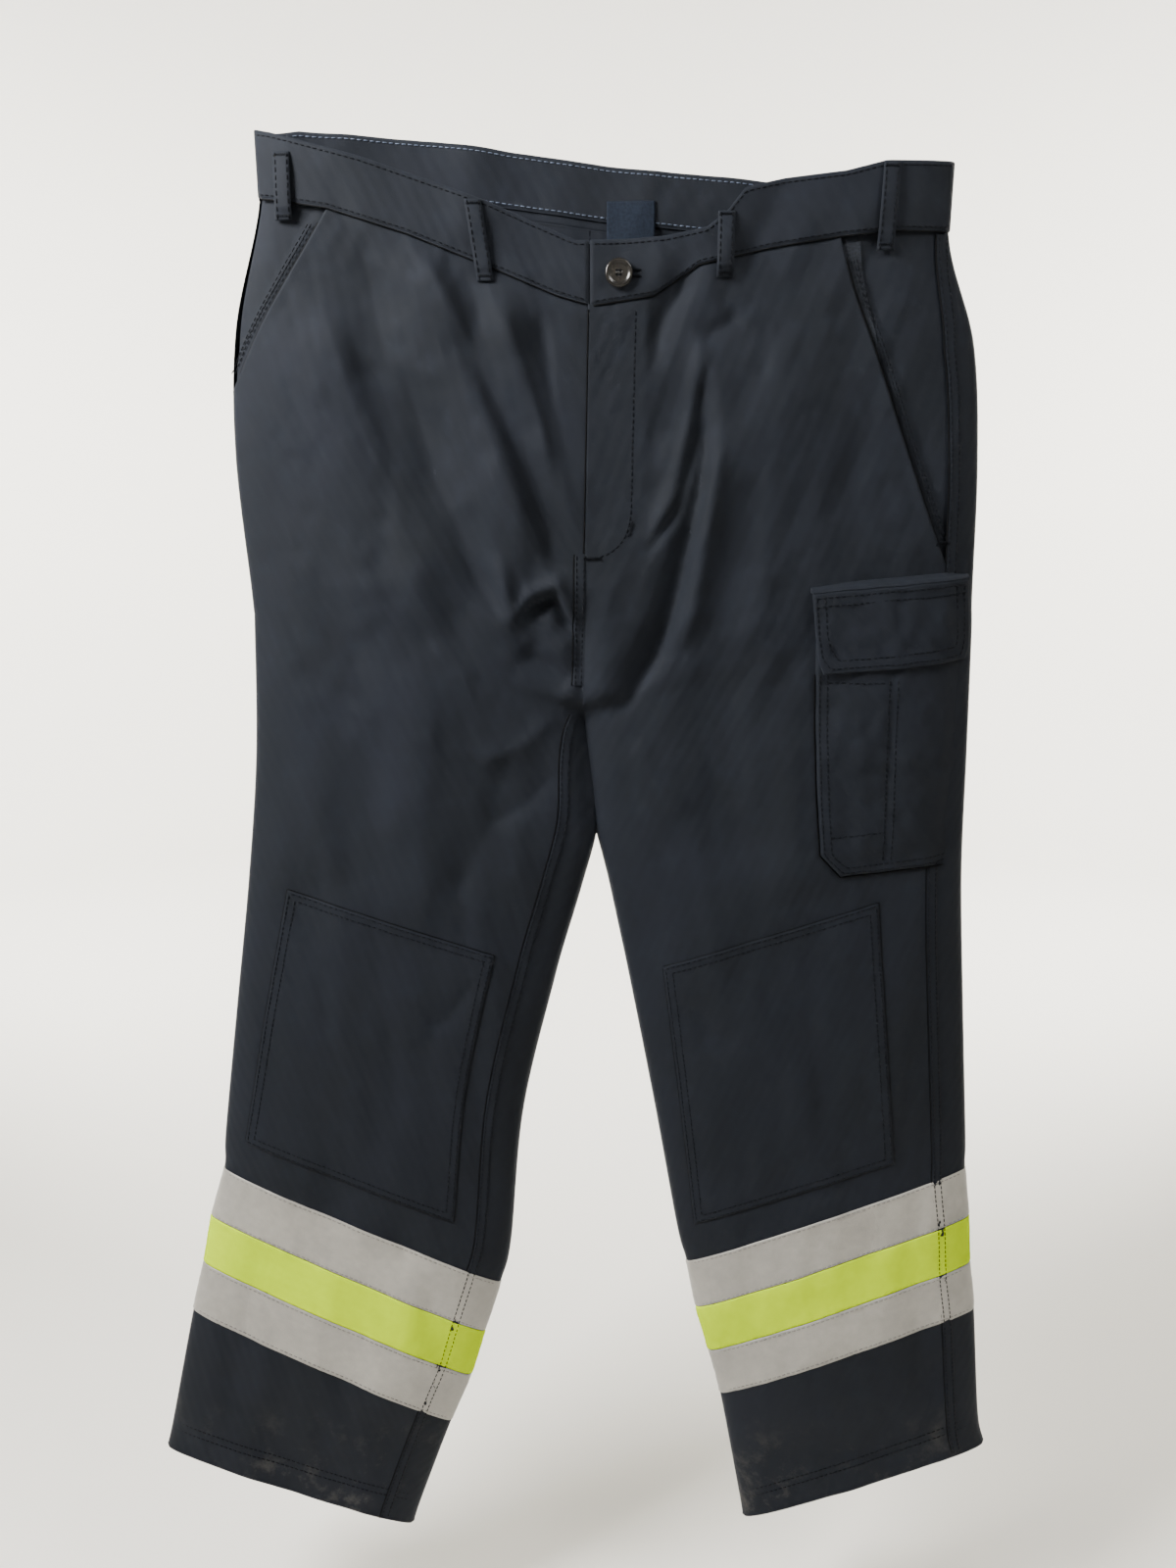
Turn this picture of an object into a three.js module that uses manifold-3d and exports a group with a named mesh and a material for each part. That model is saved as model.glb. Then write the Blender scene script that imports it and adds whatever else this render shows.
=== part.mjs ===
// Firefighter's station trousers hanging from the waistband, built as an assembly.
// Millimetres, +Z up, the wearer faces -Y, so the wearer's right leg lies at -X.
// The origin is midway between the two places where hanger clips grip the waistband.
import * as THREE from "three";
import { mergeVertices } from "three/addons/utils/BufferGeometryUtils.js";
import Module from "manifold-3d";

const wasm = await Module();
wasm.setup();

// ---------- driving dimensions ----------
const GAP = 0.3; // between pieces that touch in the real garment
const CLOTH = 1.5; // main twill, one layer
const BAND = 2.4; // waistband, folded double
const TRIM = 0.8; // bands and hook-and-loop strips
const HALF_WIDTH = 249; // half the laid-flat waist
const LENGTH = 1150; // waist seam to hem at the longer side
const BAND_HEIGHT = 46;
const DEPTH = 25; // half the front-to-back depth at the hip
const HEM_DEPTH = 30; // the same at the hem
const EDGE_POWER = 2.6; // how boxy the flattened leg is
const SEAM_INSET = 18; // how far the rolled side seams lie in from the edge
const BUTTON_DIAMETER = 20;
const LOOP_WIDTH = 12;
const LOOP_STAND = 6.5; // clear height under a belt loop
const CARGO_DEPTH = 7; // hollow of the cargo pocket
const POCKET_GAPE = 5; // how far the slant pocket mouths stand open
const FLY_LENGTH = 183;
const FAR = 400;

// The measures below are written for these values and stretched with the ones above.
const SX = HALF_WIDTH / 249;
const SZ = LENGTH / 1150;
const px = (x) => x * SX;
const pz = (z) => z * SZ;
const scaled = (points) => points.map(([x, z]) => [px(x), pz(z)]);

// ---------- leg charts: outer and inner edge of each side, from the waist down ----------
const STATION = {
  above: 0, waist: 1, fork: 4, below: 5, patchTop: 7, knee: 8, patchEnd: 9,
  band: [10, 11, 12, 13], hemStitch: 14, hem: 15, beyond: 16,
};
const halfDepths = [25, 25, 25, 25, 26, 26, 27, 28, 28, 28, 28, 28, 28, 28, 29, 30, 30].map(
  (d, i) => (i < 4 ? DEPTH : d + ((DEPTH - 25) * (16 - i)) / 12 + ((HEM_DEPTH - 30) * (i - 4)) / 12),
);
const legs = {
  right: {
    side: -1,
    outer: scaled([
      [-243, 60], [-243, -16], [-267, -105], [-274, -195], [-269, -300], [-269, -330],
      [-275, -430], [-288, -531], [-307, -650], [-326, -770], [-330, -806], [-345, -855],
      [-356, -903], [-370, -954], [-399, -1074], [-407, -1104], [-413, -1130],
    ]),
    inner: scaled([
      [-5, 60], [-5, -89], [-6, -175], [-8, -270], [-10, -372], [-13, -402],
      [-3, -495], [-34, -618], [-64, -748], [-77, -880], [-87, -923], [-103, -976],
      [-117, -1024], [-137, -1076], [-167, -1162], [-177, -1194], [-184, -1222],
    ]),
  },
  left: {
    side: 1,
    outer: scaled([
      [256, 60], [256, -38], [281, -115], [291, -200], [295, -300], [297, -330],
      [301, -430], [305, -531], [316, -652], [328, -775], [330, -806], [337, -855],
      [342, -903], [350, -953], [363, -1066], [371, -1100], [378, -1130],
    ]),
    inner: scaled([
      [-5, 60], [-5, -89], [-6, -175], [-8, -270], [-10, -372], [-5, -402],
      [5, -495], [30, -620], [54, -744], [76, -866], [85, -901], [95, -950],
      [108, -997], [120, -1045], [141, -1157], [146, -1186], [151, -1215],
    ]),
  },
};
for (const leg of Object.values(legs)) {
  leg.outerCurve = new THREE.SplineCurve(leg.outer.map(([x, z]) => new THREE.Vector2(x, z)));
  leg.innerCurve = new THREE.SplineCurve(leg.inner.map(([x, z]) => new THREE.Vector2(x, z)));
}
const LAST = STATION.beyond;
const stepsAfter = [1, 2, 2, 3, 3, 2, 3, 3, 3, 1, 1, 1, 1, 2, 1, 1];
const ROWS = stepsAfter.flatMap((n, i) => Array.from({ length: n }, (_, k) => i + k / n));
ROWS.push(LAST);
const COLUMNS = [0, 0.008, 0.03, 0.065, 0.12, 0.32, 0.5, 0.68, 0.88, 0.935, 0.97, 0.992, 1];

const between = (list, v) => {
  const i = Math.min(Math.floor(v), list.length - 2);
  return THREE.MathUtils.lerp(list[i], list[i + 1], v - i);
};
// 0 where the two sides join in one trunk, 1 where a leg closes round on itself.
const closed = (v) => THREE.MathUtils.clamp(v - STATION.fork, 0, 1);

function row(leg, v) {
  const out = leg.outerCurve.getPoint(v / LAST);
  const inn = leg.innerCurve.getPoint(v / LAST);
  const along = inn.clone().sub(out);
  return { out, inn, length: along.length(), along: along.normalize() };
}

// A point of the chart: u runs from the outer edge (0) to the inner edge (1), v down the rows.
function chart(leg, u, v, lift = 0) {
  const r = row(leg, v);
  const p = r.out.clone().lerp(r.inn, u);
  return [p.x, p.y + lift];
}

// ---------- the trousers as one solid, grown outwards by d ----------
function legSolid(leg, d) {
  const positions = [];
  const index = [];
  const ring = 2 * COLUMNS.length;
  for (const v of ROWS) {
    const r = row(leg, v);
    const w = closed(v);
    const out = r.out.clone().addScaledVector(r.along, -d);
    const inn = r.inn.clone().addScaledVector(r.along, d * w + (1 - w));
    const depth = between(halfDepths, v) + d;
    const point = (u, sign) => {
      const far = Math.abs(1 - 2 * u) ** EDGE_POWER;
      const e = (1 - (u < 0.5 ? 1 : w) * far) ** (1 / EDGE_POWER);
      const p = out.clone().lerp(inn, u);
      positions.push(p.x, sign * Math.max(depth * e, 0.4), p.y);
    };
    COLUMNS.forEach((u) => point(u, -1));
    [...COLUMNS].reverse().forEach((u) => point(u, 1));
  }
  const last = (ROWS.length - 1) * ring;
  for (let i = 0; i < ROWS.length - 1; i++) {
    for (let j = 0; j < ring; j++) {
      const a = i * ring + j;
      const b = i * ring + ((j + 1) % ring);
      index.push(a, a + ring, b, b, a + ring, b + ring);
    }
  }
  for (let j = 1; j < ring - 1; j++) {
    index.push(0, j, j + 1);
    index.push(last, last + j + 1, last + j);
  }
  return solid(positions, index);
}

// A closed mesh as a solid, with its faces set outwards whichever way they were laid.
function solid(positions, index) {
  const triVerts = new Uint32Array(index);
  const make = () =>
    new wasm.Manifold(
      new wasm.Mesh({ numProp: 3, vertProperties: new Float32Array(positions), triVerts }),
    );
  const made = make();
  if (made.volume() > 0) return made;
  for (let i = 0; i < triVerts.length; i += 3)
    [triVerts[i + 1], triVerts[i + 2]] = [triVerts[i + 2], triVerts[i + 1]];
  return make();
}

const grown = new Map();
function trousers(d) {
  if (!grown.has(d)) grown.set(d, legSolid(legs.right, d).add(legSolid(legs.left, d)));
  return grown.get(d);
}
const shell = (from, to) => trousers(to).subtract(trousers(from));

// ---------- cutters ----------
function fromGeometry(geometry) {
  const g = geometry.index ? geometry.toNonIndexed() : geometry;
  const bare = new THREE.BufferGeometry().setAttribute("position", g.getAttribute("position"));
  const merged = mergeVertices(bare, 1e-4);
  return solid(merged.attributes.position.array, merged.index.array);
}

// An outline in X and Z, extruded from y0 to y1.
function prism(points, y0, y1) {
  const shape = new THREE.Shape(points.map(([x, z]) => new THREE.Vector2(x, z)));
  const g = new THREE.ExtrudeGeometry(shape, { depth: y1 - y0, bevelEnabled: false });
  g.rotateX(Math.PI / 2);
  g.translate(0, y1, 0);
  return fromGeometry(g);
}
// A cross-section in X and Y, extruded from z0 up to z1.
function column(points, z0, z1) {
  const shape = new THREE.Shape(points.map(([x, y]) => new THREE.Vector2(x, y)));
  const g = new THREE.ExtrudeGeometry(shape, { depth: z1 - z0, bevelEnabled: false });
  g.translate(0, 0, z0);
  return fromGeometry(g);
}
const front = (points) => prism(points, -FAR, -GAP / 2);
const back = (points) => prism(points, GAP / 2, FAR);
const through = (points) => prism(points, -FAR, FAR);
const block = (x0, x1, z0, z1) => [[x0, z0], [x1, z0], [x1, z1], [x0, z1]];
const under = (line, lift = 0) => [
  ...line.map(([x, z]) => [x, z + lift]), [FAR * 1.5, -3000], [-FAR * 1.5, -3000],
];
const over = (line, lift = 0) => [
  ...line.map(([x, z]) => [x, z + lift]), [FAR * 1.5, 900], [-FAR * 1.5, 900],
];
const stretch = (line) => [
  [-FAR * 1.5, line[0][1]], ...line, [FAR * 1.5, line[line.length - 1][1]],
];

// A patch of the chart between rows v0 and v1 and columns u0(v) and u1(v), trimmed by `trim`.
function region(leg, v0, v1, u0, u1, trim = GAP / 2) {
  const at = (u, v) => (typeof u === "function" ? u(v) : u);
  const vs = [v0, ...ROWS.filter((v) => v > v0 + 1e-6 && v < v1 - 1e-6), v1];
  const edge = (u, sign) =>
    vs.map((v, i) => {
      const lift = i === 0 ? -trim : i === vs.length - 1 ? trim : 0;
      return chart(leg, at(u, v) + (sign * trim) / row(leg, v).length, v, lift);
    });
  return [...edge(u0, 1), ...edge(u1, -1).reverse()];
}

// ---------- seam lines ----------
const inMm = (leg, v, mm) => mm / row(leg, v).length;
// The centre seam is shared by both sides, from the waist to the fork.
const centreLine = legs.right.inner.slice(0, STATION.fork + 1);
const centreX = (z) => {
  const i = Math.max(1, centreLine.findIndex((p) => p[1] <= z));
  const [x0, z0] = centreLine[i - 1];
  const [x1, z1] = centreLine[i];
  return THREE.MathUtils.mapLinear(z, z0, z1, x0, x1);
};
// Wearer's right: the inseam has rolled to the front. Wearer's left: the outseam has.
const roll = (v) => SEAM_INSET * THREE.MathUtils.smoothstep(v, STATION.fork + 0.5, 7);
const centre = (leg) => (v) => {
  if (v > STATION.fork) return 1 + inMm(leg, v, 3 * closed(v));
  const r = row(leg, v);
  return (centreX(r.inn.y) - r.out.x) / (r.inn.x - r.out.x);
};
const frontOuter = {
  right: () => -0.2,
  left: (v) => inMm(legs.left, v, v < 2 ? 4 + SEAM_INSET * 0.8 * (v - 1) : SEAM_INSET),
};
const frontInner = {
  right: (v) => (v <= STATION.fork ? centre(legs.right)(v) : 1 - inMm(legs.right, v, roll(v))),
  left: centre(legs.left),
};

const bandTopFront = stretch(scaled([
  [-243, 29], [-168, 10], [-112, -8], [-79, -19], [-45, -33], [-15, -45], [24, -44],
  [50, -42], [80, -36], [95, -25], [107, -10], [135, -4], [179, 1], [208, 8], [256, 8],
]));
const bandTopBack = stretch(scaled([
  [-243, 29], [-218, 34], [-178, 33], [-119, 29], [8, 13], [123, 2], [160, 0], [256, 8],
]));
const seamFront = stretch(scaled([
  [-243, -16], [-195, -23], [-138, -40], [-82, -61], [-29, -82], [-3, -89], [43, -82],
  [75, -61], [99, -56], [125, -50], [177, -42], [219, -38], [256, -38],
]));
const seamBack = bandTopBack.map(([x, z]) => [x, z - BAND_HEIGHT]);
const heightOn = (line, x) => {
  const i = Math.max(1, line.findIndex(([a]) => a >= x));
  const [x0, z0] = line[i - 1];
  const [x1, z1] = line[i];
  return THREE.MathUtils.mapLinear(x, x0, x1, z0, z1);
};

// Slant pocket mouths, from the waist seam down to the side seam.
const mouths = {
  right: scaled([[-182, 0], [-194, -24], [-224, -68], [-247, -103], [-273, -150], [-300, -190]]),
  left: scaled([[171, -20], [177, -44], [188, -78], [208, -125], [233, -187], [262, -257], [290, -318]]),
};
const besideMouth = (name, shift) => {
  const s = legs[name].side;
  const line = mouths[name].map(([x, z]) => [x + s * shift, z]);
  return [...line, [s * FAR * 1.5, line.at(-1)[1]], [s * FAR * 1.5, line[0][1]]];
};

// ---------- materials ----------
const finishes = {
  navy_twill: [0x2b3038, 0.9, 0],
  reflective_silver: [0xa9a7a4, 0.45, 0],
  fluorescent_yellow: [0xd9f500, 0.7, 0],
  pocket_lining: [0x17191d, 0.95, 0],
  button_resin: [0x2a2623, 0.25, 0],
  zip_metal: [0x6f6a5e, 0.35, 1],
  zip_coil: [0x15171b, 0.6, 0],
  zip_tape: [0x1b1f27, 0.9, 0],
  hook_and_loop: [0x101215, 0.95, 0],
  sewing_thread: [0x22262e, 0.8, 0],
  label_tape: [0x0f1013, 0.8, 0],
};
const group = new THREE.Group();
group.name = "bunker_pants";

function add(name, piece, finish) {
  const m = piece.getMesh();
  const points = new Float32Array(m.numVert * 3);
  for (let i = 0; i < m.numVert; i++)
    points.set(m.vertProperties.subarray(i * m.numProp, i * m.numProp + 3), i * 3);
  const geometry = new THREE.BufferGeometry();
  geometry.setAttribute("position", new THREE.BufferAttribute(points, 3));
  geometry.setIndex(new THREE.BufferAttribute(m.triVerts, 1));
  geometry.computeVertexNormals();
  const [color, roughness, metalness] = finishes[finish];
  const mesh = new THREE.Mesh(
    geometry,
    new THREE.MeshStandardMaterial({ color, roughness, metalness, flatShading: true }),
  );
  mesh.name = name;
  mesh.material.name = finish;
  group.add(mesh);
}

// ---------- main panels, split at the knee rows ----------
const wall = shell(0, CLOTH);
const zones = { upper: [STATION.above, STATION.knee], lower: [STATION.knee, STATION.hem] };
for (const [name, leg] of Object.entries(legs)) {
  const half = centre(leg);
  for (const [zone, [v0, v1]] of Object.entries(zones)) {
    let panel = wall.intersect(front(region(leg, v0, v1, frontOuter[name], frontInner[name])));
    let rear = wall
      .intersect(through(region(leg, v0, v1, -0.2, half)))
      .subtract(
        prism(region(leg, 0, LAST, frontOuter[name], frontInner[name], -GAP / 2), -FAR, GAP / 2),
      );
    if (zone === "upper") {
      panel = panel.intersect(through(under(seamFront, -GAP / 2)));
      panel = panel.subtract(front(besideMouth(name, 0)));
      rear = rear
        .subtract(back(over(seamBack, -GAP / 2)))
        .subtract(front(over(seamFront, -GAP / 2)))
        .subtract(prism(over(seamFront, -GAP / 2), -FAR, -GAP / 2));
    }
    add("front_" + zone + "_" + name, panel, "navy_twill");
    add("back_" + zone + "_" + name, rear, "navy_twill");
  }
}

// ---------- knee patches ----------
const patchOuter = {
  right: (v) => THREE.MathUtils.lerp(0.126, 0.07, (v - 7) / 2),
  left: () => 0.25,
};
const patchInner = {
  right: () => 0.8,
  left: (v) => THREE.MathUtils.lerp(0.9, 0.945, (v - 7) / 2),
};
const patchShell = shell(CLOTH + GAP, CLOTH + GAP + 1.2);
for (const [name, leg] of Object.entries(legs)) {
  const cut = (v0, v1) =>
    patchShell.intersect(front(region(leg, v0, v1, patchOuter[name], patchInner[name])));
  add("knee_patch_upper_" + name, cut(STATION.patchTop, STATION.knee), "navy_twill");
  add("knee_patch_lower_" + name, cut(STATION.knee, STATION.patchEnd), "navy_twill");
}

// ---------- bands round the shins, and turned hems ----------
const bandShell = shell(CLOTH + GAP, CLOTH + GAP + TRIM);
const hemShell = shell(-CLOTH - GAP, -GAP);
const bandNames = ["reflective_band_top", "fluorescent_band", "reflective_band_bottom"];
for (const [name, leg] of Object.entries(legs)) {
  bandNames.forEach((bandName, i) => {
    const ring = region(leg, STATION.band[i], STATION.band[i + 1], -0.15, 1.15);
    add(
      bandName + "_" + name,
      bandShell.intersect(through(ring)),
      i === 1 ? "fluorescent_yellow" : "reflective_silver",
    );
  });
  const hem = region(leg, STATION.hemStitch, STATION.hem, -0.15, 1.15, -CLOTH / 2).map(
    ([x, z]) => [x, z + CLOTH],
  );
  add("hem_" + name, hemShell.intersect(through(hem)), "navy_twill");
}

// ---------- waistband ----------
const flyX = px(-5);
const bandShellOuter = shell(0, BAND);
const bandFront = bandShellOuter
  .intersect(front(over(seamFront, GAP / 2)))
  .intersect(through(under(bandTopFront)));
const extension = shell(-BAND - 2 * GAP, -GAP)
  .intersect(front(over(seamFront, 2)))
  .intersect(through(under(bandTopFront, -2)));
const buttonX = px(16);
const buttonZ = heightOn(seamFront, buttonX) + BAND_HEIGHT * 0.33;
const shankRadius = 1.8;
const disc = (radius, y0, y1, x = buttonX, z = buttonZ) => {
  const g = new THREE.CylinderGeometry(radius, radius, y1 - y0, 32);
  g.translate(x, (y0 + y1) / 2, z);
  return fromGeometry(g);
};
const slit = block(buttonX, buttonX + 15, buttonZ - 0.7, buttonZ + 0.7);
const buttonhole = disc(shankRadius + 0.8, -FAR, 0).add(front(slit));
add(
  "waistband_front_left",
  bandFront.intersect(through(block(flyX + GAP / 2, FAR, -FAR, FAR))).subtract(buttonhole),
  "navy_twill",
);
const step = shell(-BAND - 2 * GAP, BAND)
  .intersect(front(over(seamFront, 2)))
  .intersect(through(under(bandTopFront, -2)))
  .intersect(through(block(flyX - 8, flyX - GAP / 2, -FAR, FAR)));
add(
  "waistband_front_right",
  bandFront
    .intersect(through(block(-FAR, flyX - GAP / 2, -FAR, FAR)))
    .add(step)
    .add(extension.intersect(through(block(flyX - 8, flyX + 46, -FAR, FAR)))),
  "navy_twill",
);
add(
  "waistband_back",
  bandShellOuter
    .intersect(back(over(seamBack, GAP / 2)))
    .intersect(through(under(bandTopBack))),
  "navy_twill",
);
const facingShell = shell(-CLOTH - GAP, -GAP);
const facingLine = seamBack.map(([x, z]) => [x, z + 7]);
add(
  "waistband_facing_back",
  facingShell
    .intersect(back(over(facingLine)))
    .intersect(through(under(bandTopBack, -2)))
    .intersect(through(block(px(-225), px(238), -FAR, FAR))),
  "navy_twill",
);
add(
  "size_label",
  shell(-CLOTH - 2 * GAP - TRIM, -CLOTH - 2 * GAP).intersect(
    back(block(px(8), px(44), pz(-64), pz(-14))),
  ),
  "label_tape",
);

// ---------- belt loops ----------
function loop(name, x, isBack, tilt = 0, drop = 0) {
  const top = heightOn(isBack ? bandTopBack : bandTopFront, x) - 1 - drop;
  const bottom = heightOn(isBack ? seamBack : seamFront, x) - 13;
  const surface = depthAt(x);
  const low = BAND + GAP;
  const high = BAND + LOOP_STAND;
  const foot = 6;
  const profile = [
    [low, top], [high + CLOTH - 1, top], [high + CLOTH, top - 1], [high + CLOTH, bottom + 1],
    [high + CLOTH - 1, bottom], [CLOTH + GAP, bottom], [CLOTH + GAP, bottom + foot],
    [high, bottom + foot + 2], [high, top - foot - 2], [low, top - foot],
  ];
  const shape = new THREE.Shape(profile.map(([o, z]) => new THREE.Vector2(surface + o, z)));
  const g = new THREE.ExtrudeGeometry(shape, { depth: LOOP_WIDTH, bevelEnabled: false });
  g.translate(0, 0, -LOOP_WIDTH / 2);
  g.rotateX(Math.PI / 2);
  g.rotateZ(isBack ? Math.PI / 2 : -Math.PI / 2);
  const middle = (top + bottom) / 2;
  g.translate(0, 0, -middle);
  g.rotateY(tilt);
  const y = (isBack ? 1 : -1) * surface;
  const slope = ((isBack ? 1 : -1) * (depthAt(x + LOOP_WIDTH / 2) - depthAt(x - LOOP_WIDTH / 2))) / LOOP_WIDTH;
  g.translate(0, -y, 0);
  g.rotateZ(Math.atan(slope));
  g.translate(x, y, middle);
  const bandZone = through(over(isBack ? seamBack : seamFront, -GAP));
  const clear = trousers(BAND + GAP).intersect(bandZone);
  const piece = fromGeometry(g).subtract(clear).subtract(trousers(CLOTH + GAP));
  add(name, piece, "navy_twill");
}
// How far the body's own surface stands from the mid plane at x, in the waist zone.
function depthAt(x) {
  const leg = x < flyX ? legs.right : legs.left;
  const out = leg.outer[1][0];
  const u = (x - out) / (leg.inner[1][0] - out);
  return DEPTH * (1 - (u < 0.5 ? 1 : 0) * Math.abs(1 - 2 * u) ** EDGE_POWER) ** (1 / EDGE_POWER);
}
loop("belt_loop_front_1", px(-226), false, 0, 10);
loop("belt_loop_front_2", px(-85), false, -0.15);
loop("belt_loop_front_3", px(94), false, 0, -1);
loop("belt_loop_front_4", px(211), false, 0.03);
loop("belt_loop_back_1", px(-122), true);
loop("belt_loop_back_2", px(-6), true);
loop("belt_loop_back_3", px(123), true);

// ---------- fly and zip ----------
const flyTop = heightOn(seamFront, px(10)) - 4;
const flyEnd = flyTop - FLY_LENGTH;
const flyY = (o) => -DEPTH - o; // plane of the front at the fly, o outwards
const chainX = px(12.5);
const flyFacing = [
  [flyX + GAP / 2 + 1, flyTop + 3], [flyX + GAP / 2 + 1, flyEnd], [flyX + 12, flyEnd + 2],
  [flyX + 22, flyEnd + 9], [flyX + 29, flyEnd + 20], [flyX + 32, flyEnd + 34],
  [flyX + 33, flyTop + 3],
];
add("fly_facing", shell(-CLOTH - GAP, -GAP).intersect(front(flyFacing)), "navy_twill");
const strip = (path, thickness) => {
  const outer = path.map(([x, o]) => [x, flyY(o)]);
  const inner = path.map(([x, o]) => [x, flyY(o - thickness)]).reverse();
  return [...outer, ...inner];
};
const tapeDepth = -9;
const tapeRight = [
  [flyX - 17, -GAP], [flyX - 5, -GAP], [flyX + 4, tapeDepth + 0.4], [chainX - 4, tapeDepth + 0.4],
];
const tapeLeft = [
  [chainX + 4, tapeDepth + 0.4], [chainX + 6.5, tapeDepth + 0.4],
  [chainX + 11, -CLOTH - 2 * GAP], [chainX + 15, -CLOTH - 2 * GAP],
];
add("zip_tape_right", column(strip(tapeRight, TRIM), flyEnd + 6, flyTop), "zip_tape");
add("zip_tape_left", column(strip(tapeLeft, TRIM), flyEnd + 6, flyTop), "zip_tape");
const underlap = [
  [flyX - 22, -TRIM - 2 * GAP], [flyX - 8, -TRIM - 2 * GAP], [flyX + 2, tapeDepth - 4],
  [flyX + 36, tapeDepth - 4],
];
add("fly_underlap", column(strip(underlap, CLOTH), flyEnd + 4, flyTop), "navy_twill");
const slotHalf = 0.6;
const coilWidth = 2.6;
const coilHalf = 1.2;
for (const [name, s] of [["right", -1], ["left", 1]]) {
  const x0 = chainX + s * slotHalf;
  const x1 = chainX + s * (slotHalf + coilWidth);
  const teeth = [];
  const pitch = 4;
  const top = flyTop - 1;
  const bottom = flyEnd + 12;
  const count = Math.floor((top - bottom) / pitch);
  for (let i = 0; i < count; i++) {
    const z = top - i * pitch;
    teeth.push([x0, z - 0.6], [x0, z - pitch + 1.2], [x0 + s * 0.7, z - pitch + 0.8], [x0 + s * 0.7, z - pitch]);
  }
  const outline = [[x1, top], [x0, top], ...teeth, [x1, top - count * pitch]];
  const oriented = s > 0 ? outline : [...outline].reverse();
  add("zip_coil_" + name, prism(oriented, flyY(tapeDepth + coilHalf), flyY(tapeDepth - coilHalf)), "zip_coil");
}
const box = (x0, x1, y0, y1, z0, z1) => {
  const g = new THREE.BoxGeometry(x1 - x0, y1 - y0, z1 - z0);
  g.translate((x0 + x1) / 2, (y0 + y1) / 2, (z0 + z1) / 2);
  return fromGeometry(g);
};
// The slider rests closed at the top; its wedge rides in the slot between the coils.
const sliderTop = flyTop - 3;
const sliderLength = 12;
const sliderPlate = (y0, y1) =>
  prism(
    [
      [chainX - 6, sliderTop], [chainX - 4.5, sliderTop - sliderLength],
      [chainX + 4.5, sliderTop - sliderLength], [chainX + 6, sliderTop],
    ],
    y0,
    y1,
  );
const plateOut = coilHalf + GAP;
add(
  "zip_slider",
  sliderPlate(flyY(tapeDepth + plateOut + 1.2), flyY(tapeDepth + plateOut))
    .add(sliderPlate(flyY(tapeDepth - plateOut), flyY(tapeDepth - plateOut - 1.2)))
    .add(
      box(
        chainX - 0.3, chainX + 0.3, flyY(tapeDepth + plateOut + 0.5),
        flyY(tapeDepth - plateOut - 0.5), sliderTop - 8, sliderTop - 1,
      ),
    ),
  "zip_metal",
);
const pullOut = tapeDepth + plateOut + 1.2 + GAP;
const pull = prism(
  [
    [chainX - 3, sliderTop - 3], [chainX - 3.5, sliderTop - 20], [chainX - 4.2, sliderTop - 30],
    [chainX - 2.5, sliderTop - 33], [chainX + 2.5, sliderTop - 33], [chainX + 4.2, sliderTop - 30],
    [chainX + 3.5, sliderTop - 20], [chainX + 3, sliderTop - 3],
  ],
  flyY(pullOut + 1.4),
  flyY(pullOut),
).subtract(disc(2, -FAR, 0, chainX, sliderTop - 28));
add("zip_pull", pull, "zip_metal");
add(
  "zip_stop",
  box(
    chainX - 4, chainX + 4, flyY(tapeDepth + coilHalf), flyY(tapeDepth - coilHalf),
    flyEnd + 7, flyEnd + 10,
  ),
  "zip_metal",
);

// ---------- waist button on its thread shank ----------
const shankTop = BAND + 1.2;
add("button_shank", disc(shankRadius, flyY(shankTop), flyY(0)), "sewing_thread");
const buttonProfile = [
  [0, 0], [BUTTON_DIAMETER / 2 - 1.4, 0], [BUTTON_DIAMETER / 2, 1.1], [BUTTON_DIAMETER / 2, 2.2],
  [BUTTON_DIAMETER / 2 - 1.2, 3.2], [BUTTON_DIAMETER / 2 - 2.6, 3.2],
  [BUTTON_DIAMETER / 2 - 3.8, 2.2], [0, 2],
].map(([r, h]) => new THREE.Vector2(r, h));
const buttonShape = new THREE.LatheGeometry(buttonProfile, 36);
buttonShape.rotateX(Math.PI);
buttonShape.translate(buttonX, flyY(shankTop + GAP), buttonZ);
const eyes = [[-1, -1], [1, -1], [-1, 1], [1, 1]].map(([i, k]) =>
  disc(0.8, -FAR, 0, buttonX + i * 1.9, buttonZ + k * 1.9),
);
add("waist_button", eyes.reduce((b, eye) => b.subtract(eye), lathed(buttonShape)), "button_resin");

// A turned solid, without the flat triangles that lathing leaves on the axis.
function lathed(geometry) {
  const bare = new THREE.BufferGeometry()
    .setAttribute("position", geometry.getAttribute("position"))
    .setIndex(geometry.index);
  const merged = mergeVertices(bare, 1e-4);
  const tidy = [];
  const idx = merged.index.array;
  for (let i = 0; i < idx.length; i += 3)
    if (idx[i] !== idx[i + 1] && idx[i + 1] !== idx[i + 2] && idx[i] !== idx[i + 2])
      tidy.push(idx[i], idx[i + 1], idx[i + 2]);
  return solid(merged.attributes.position.array, tidy);
}

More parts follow.
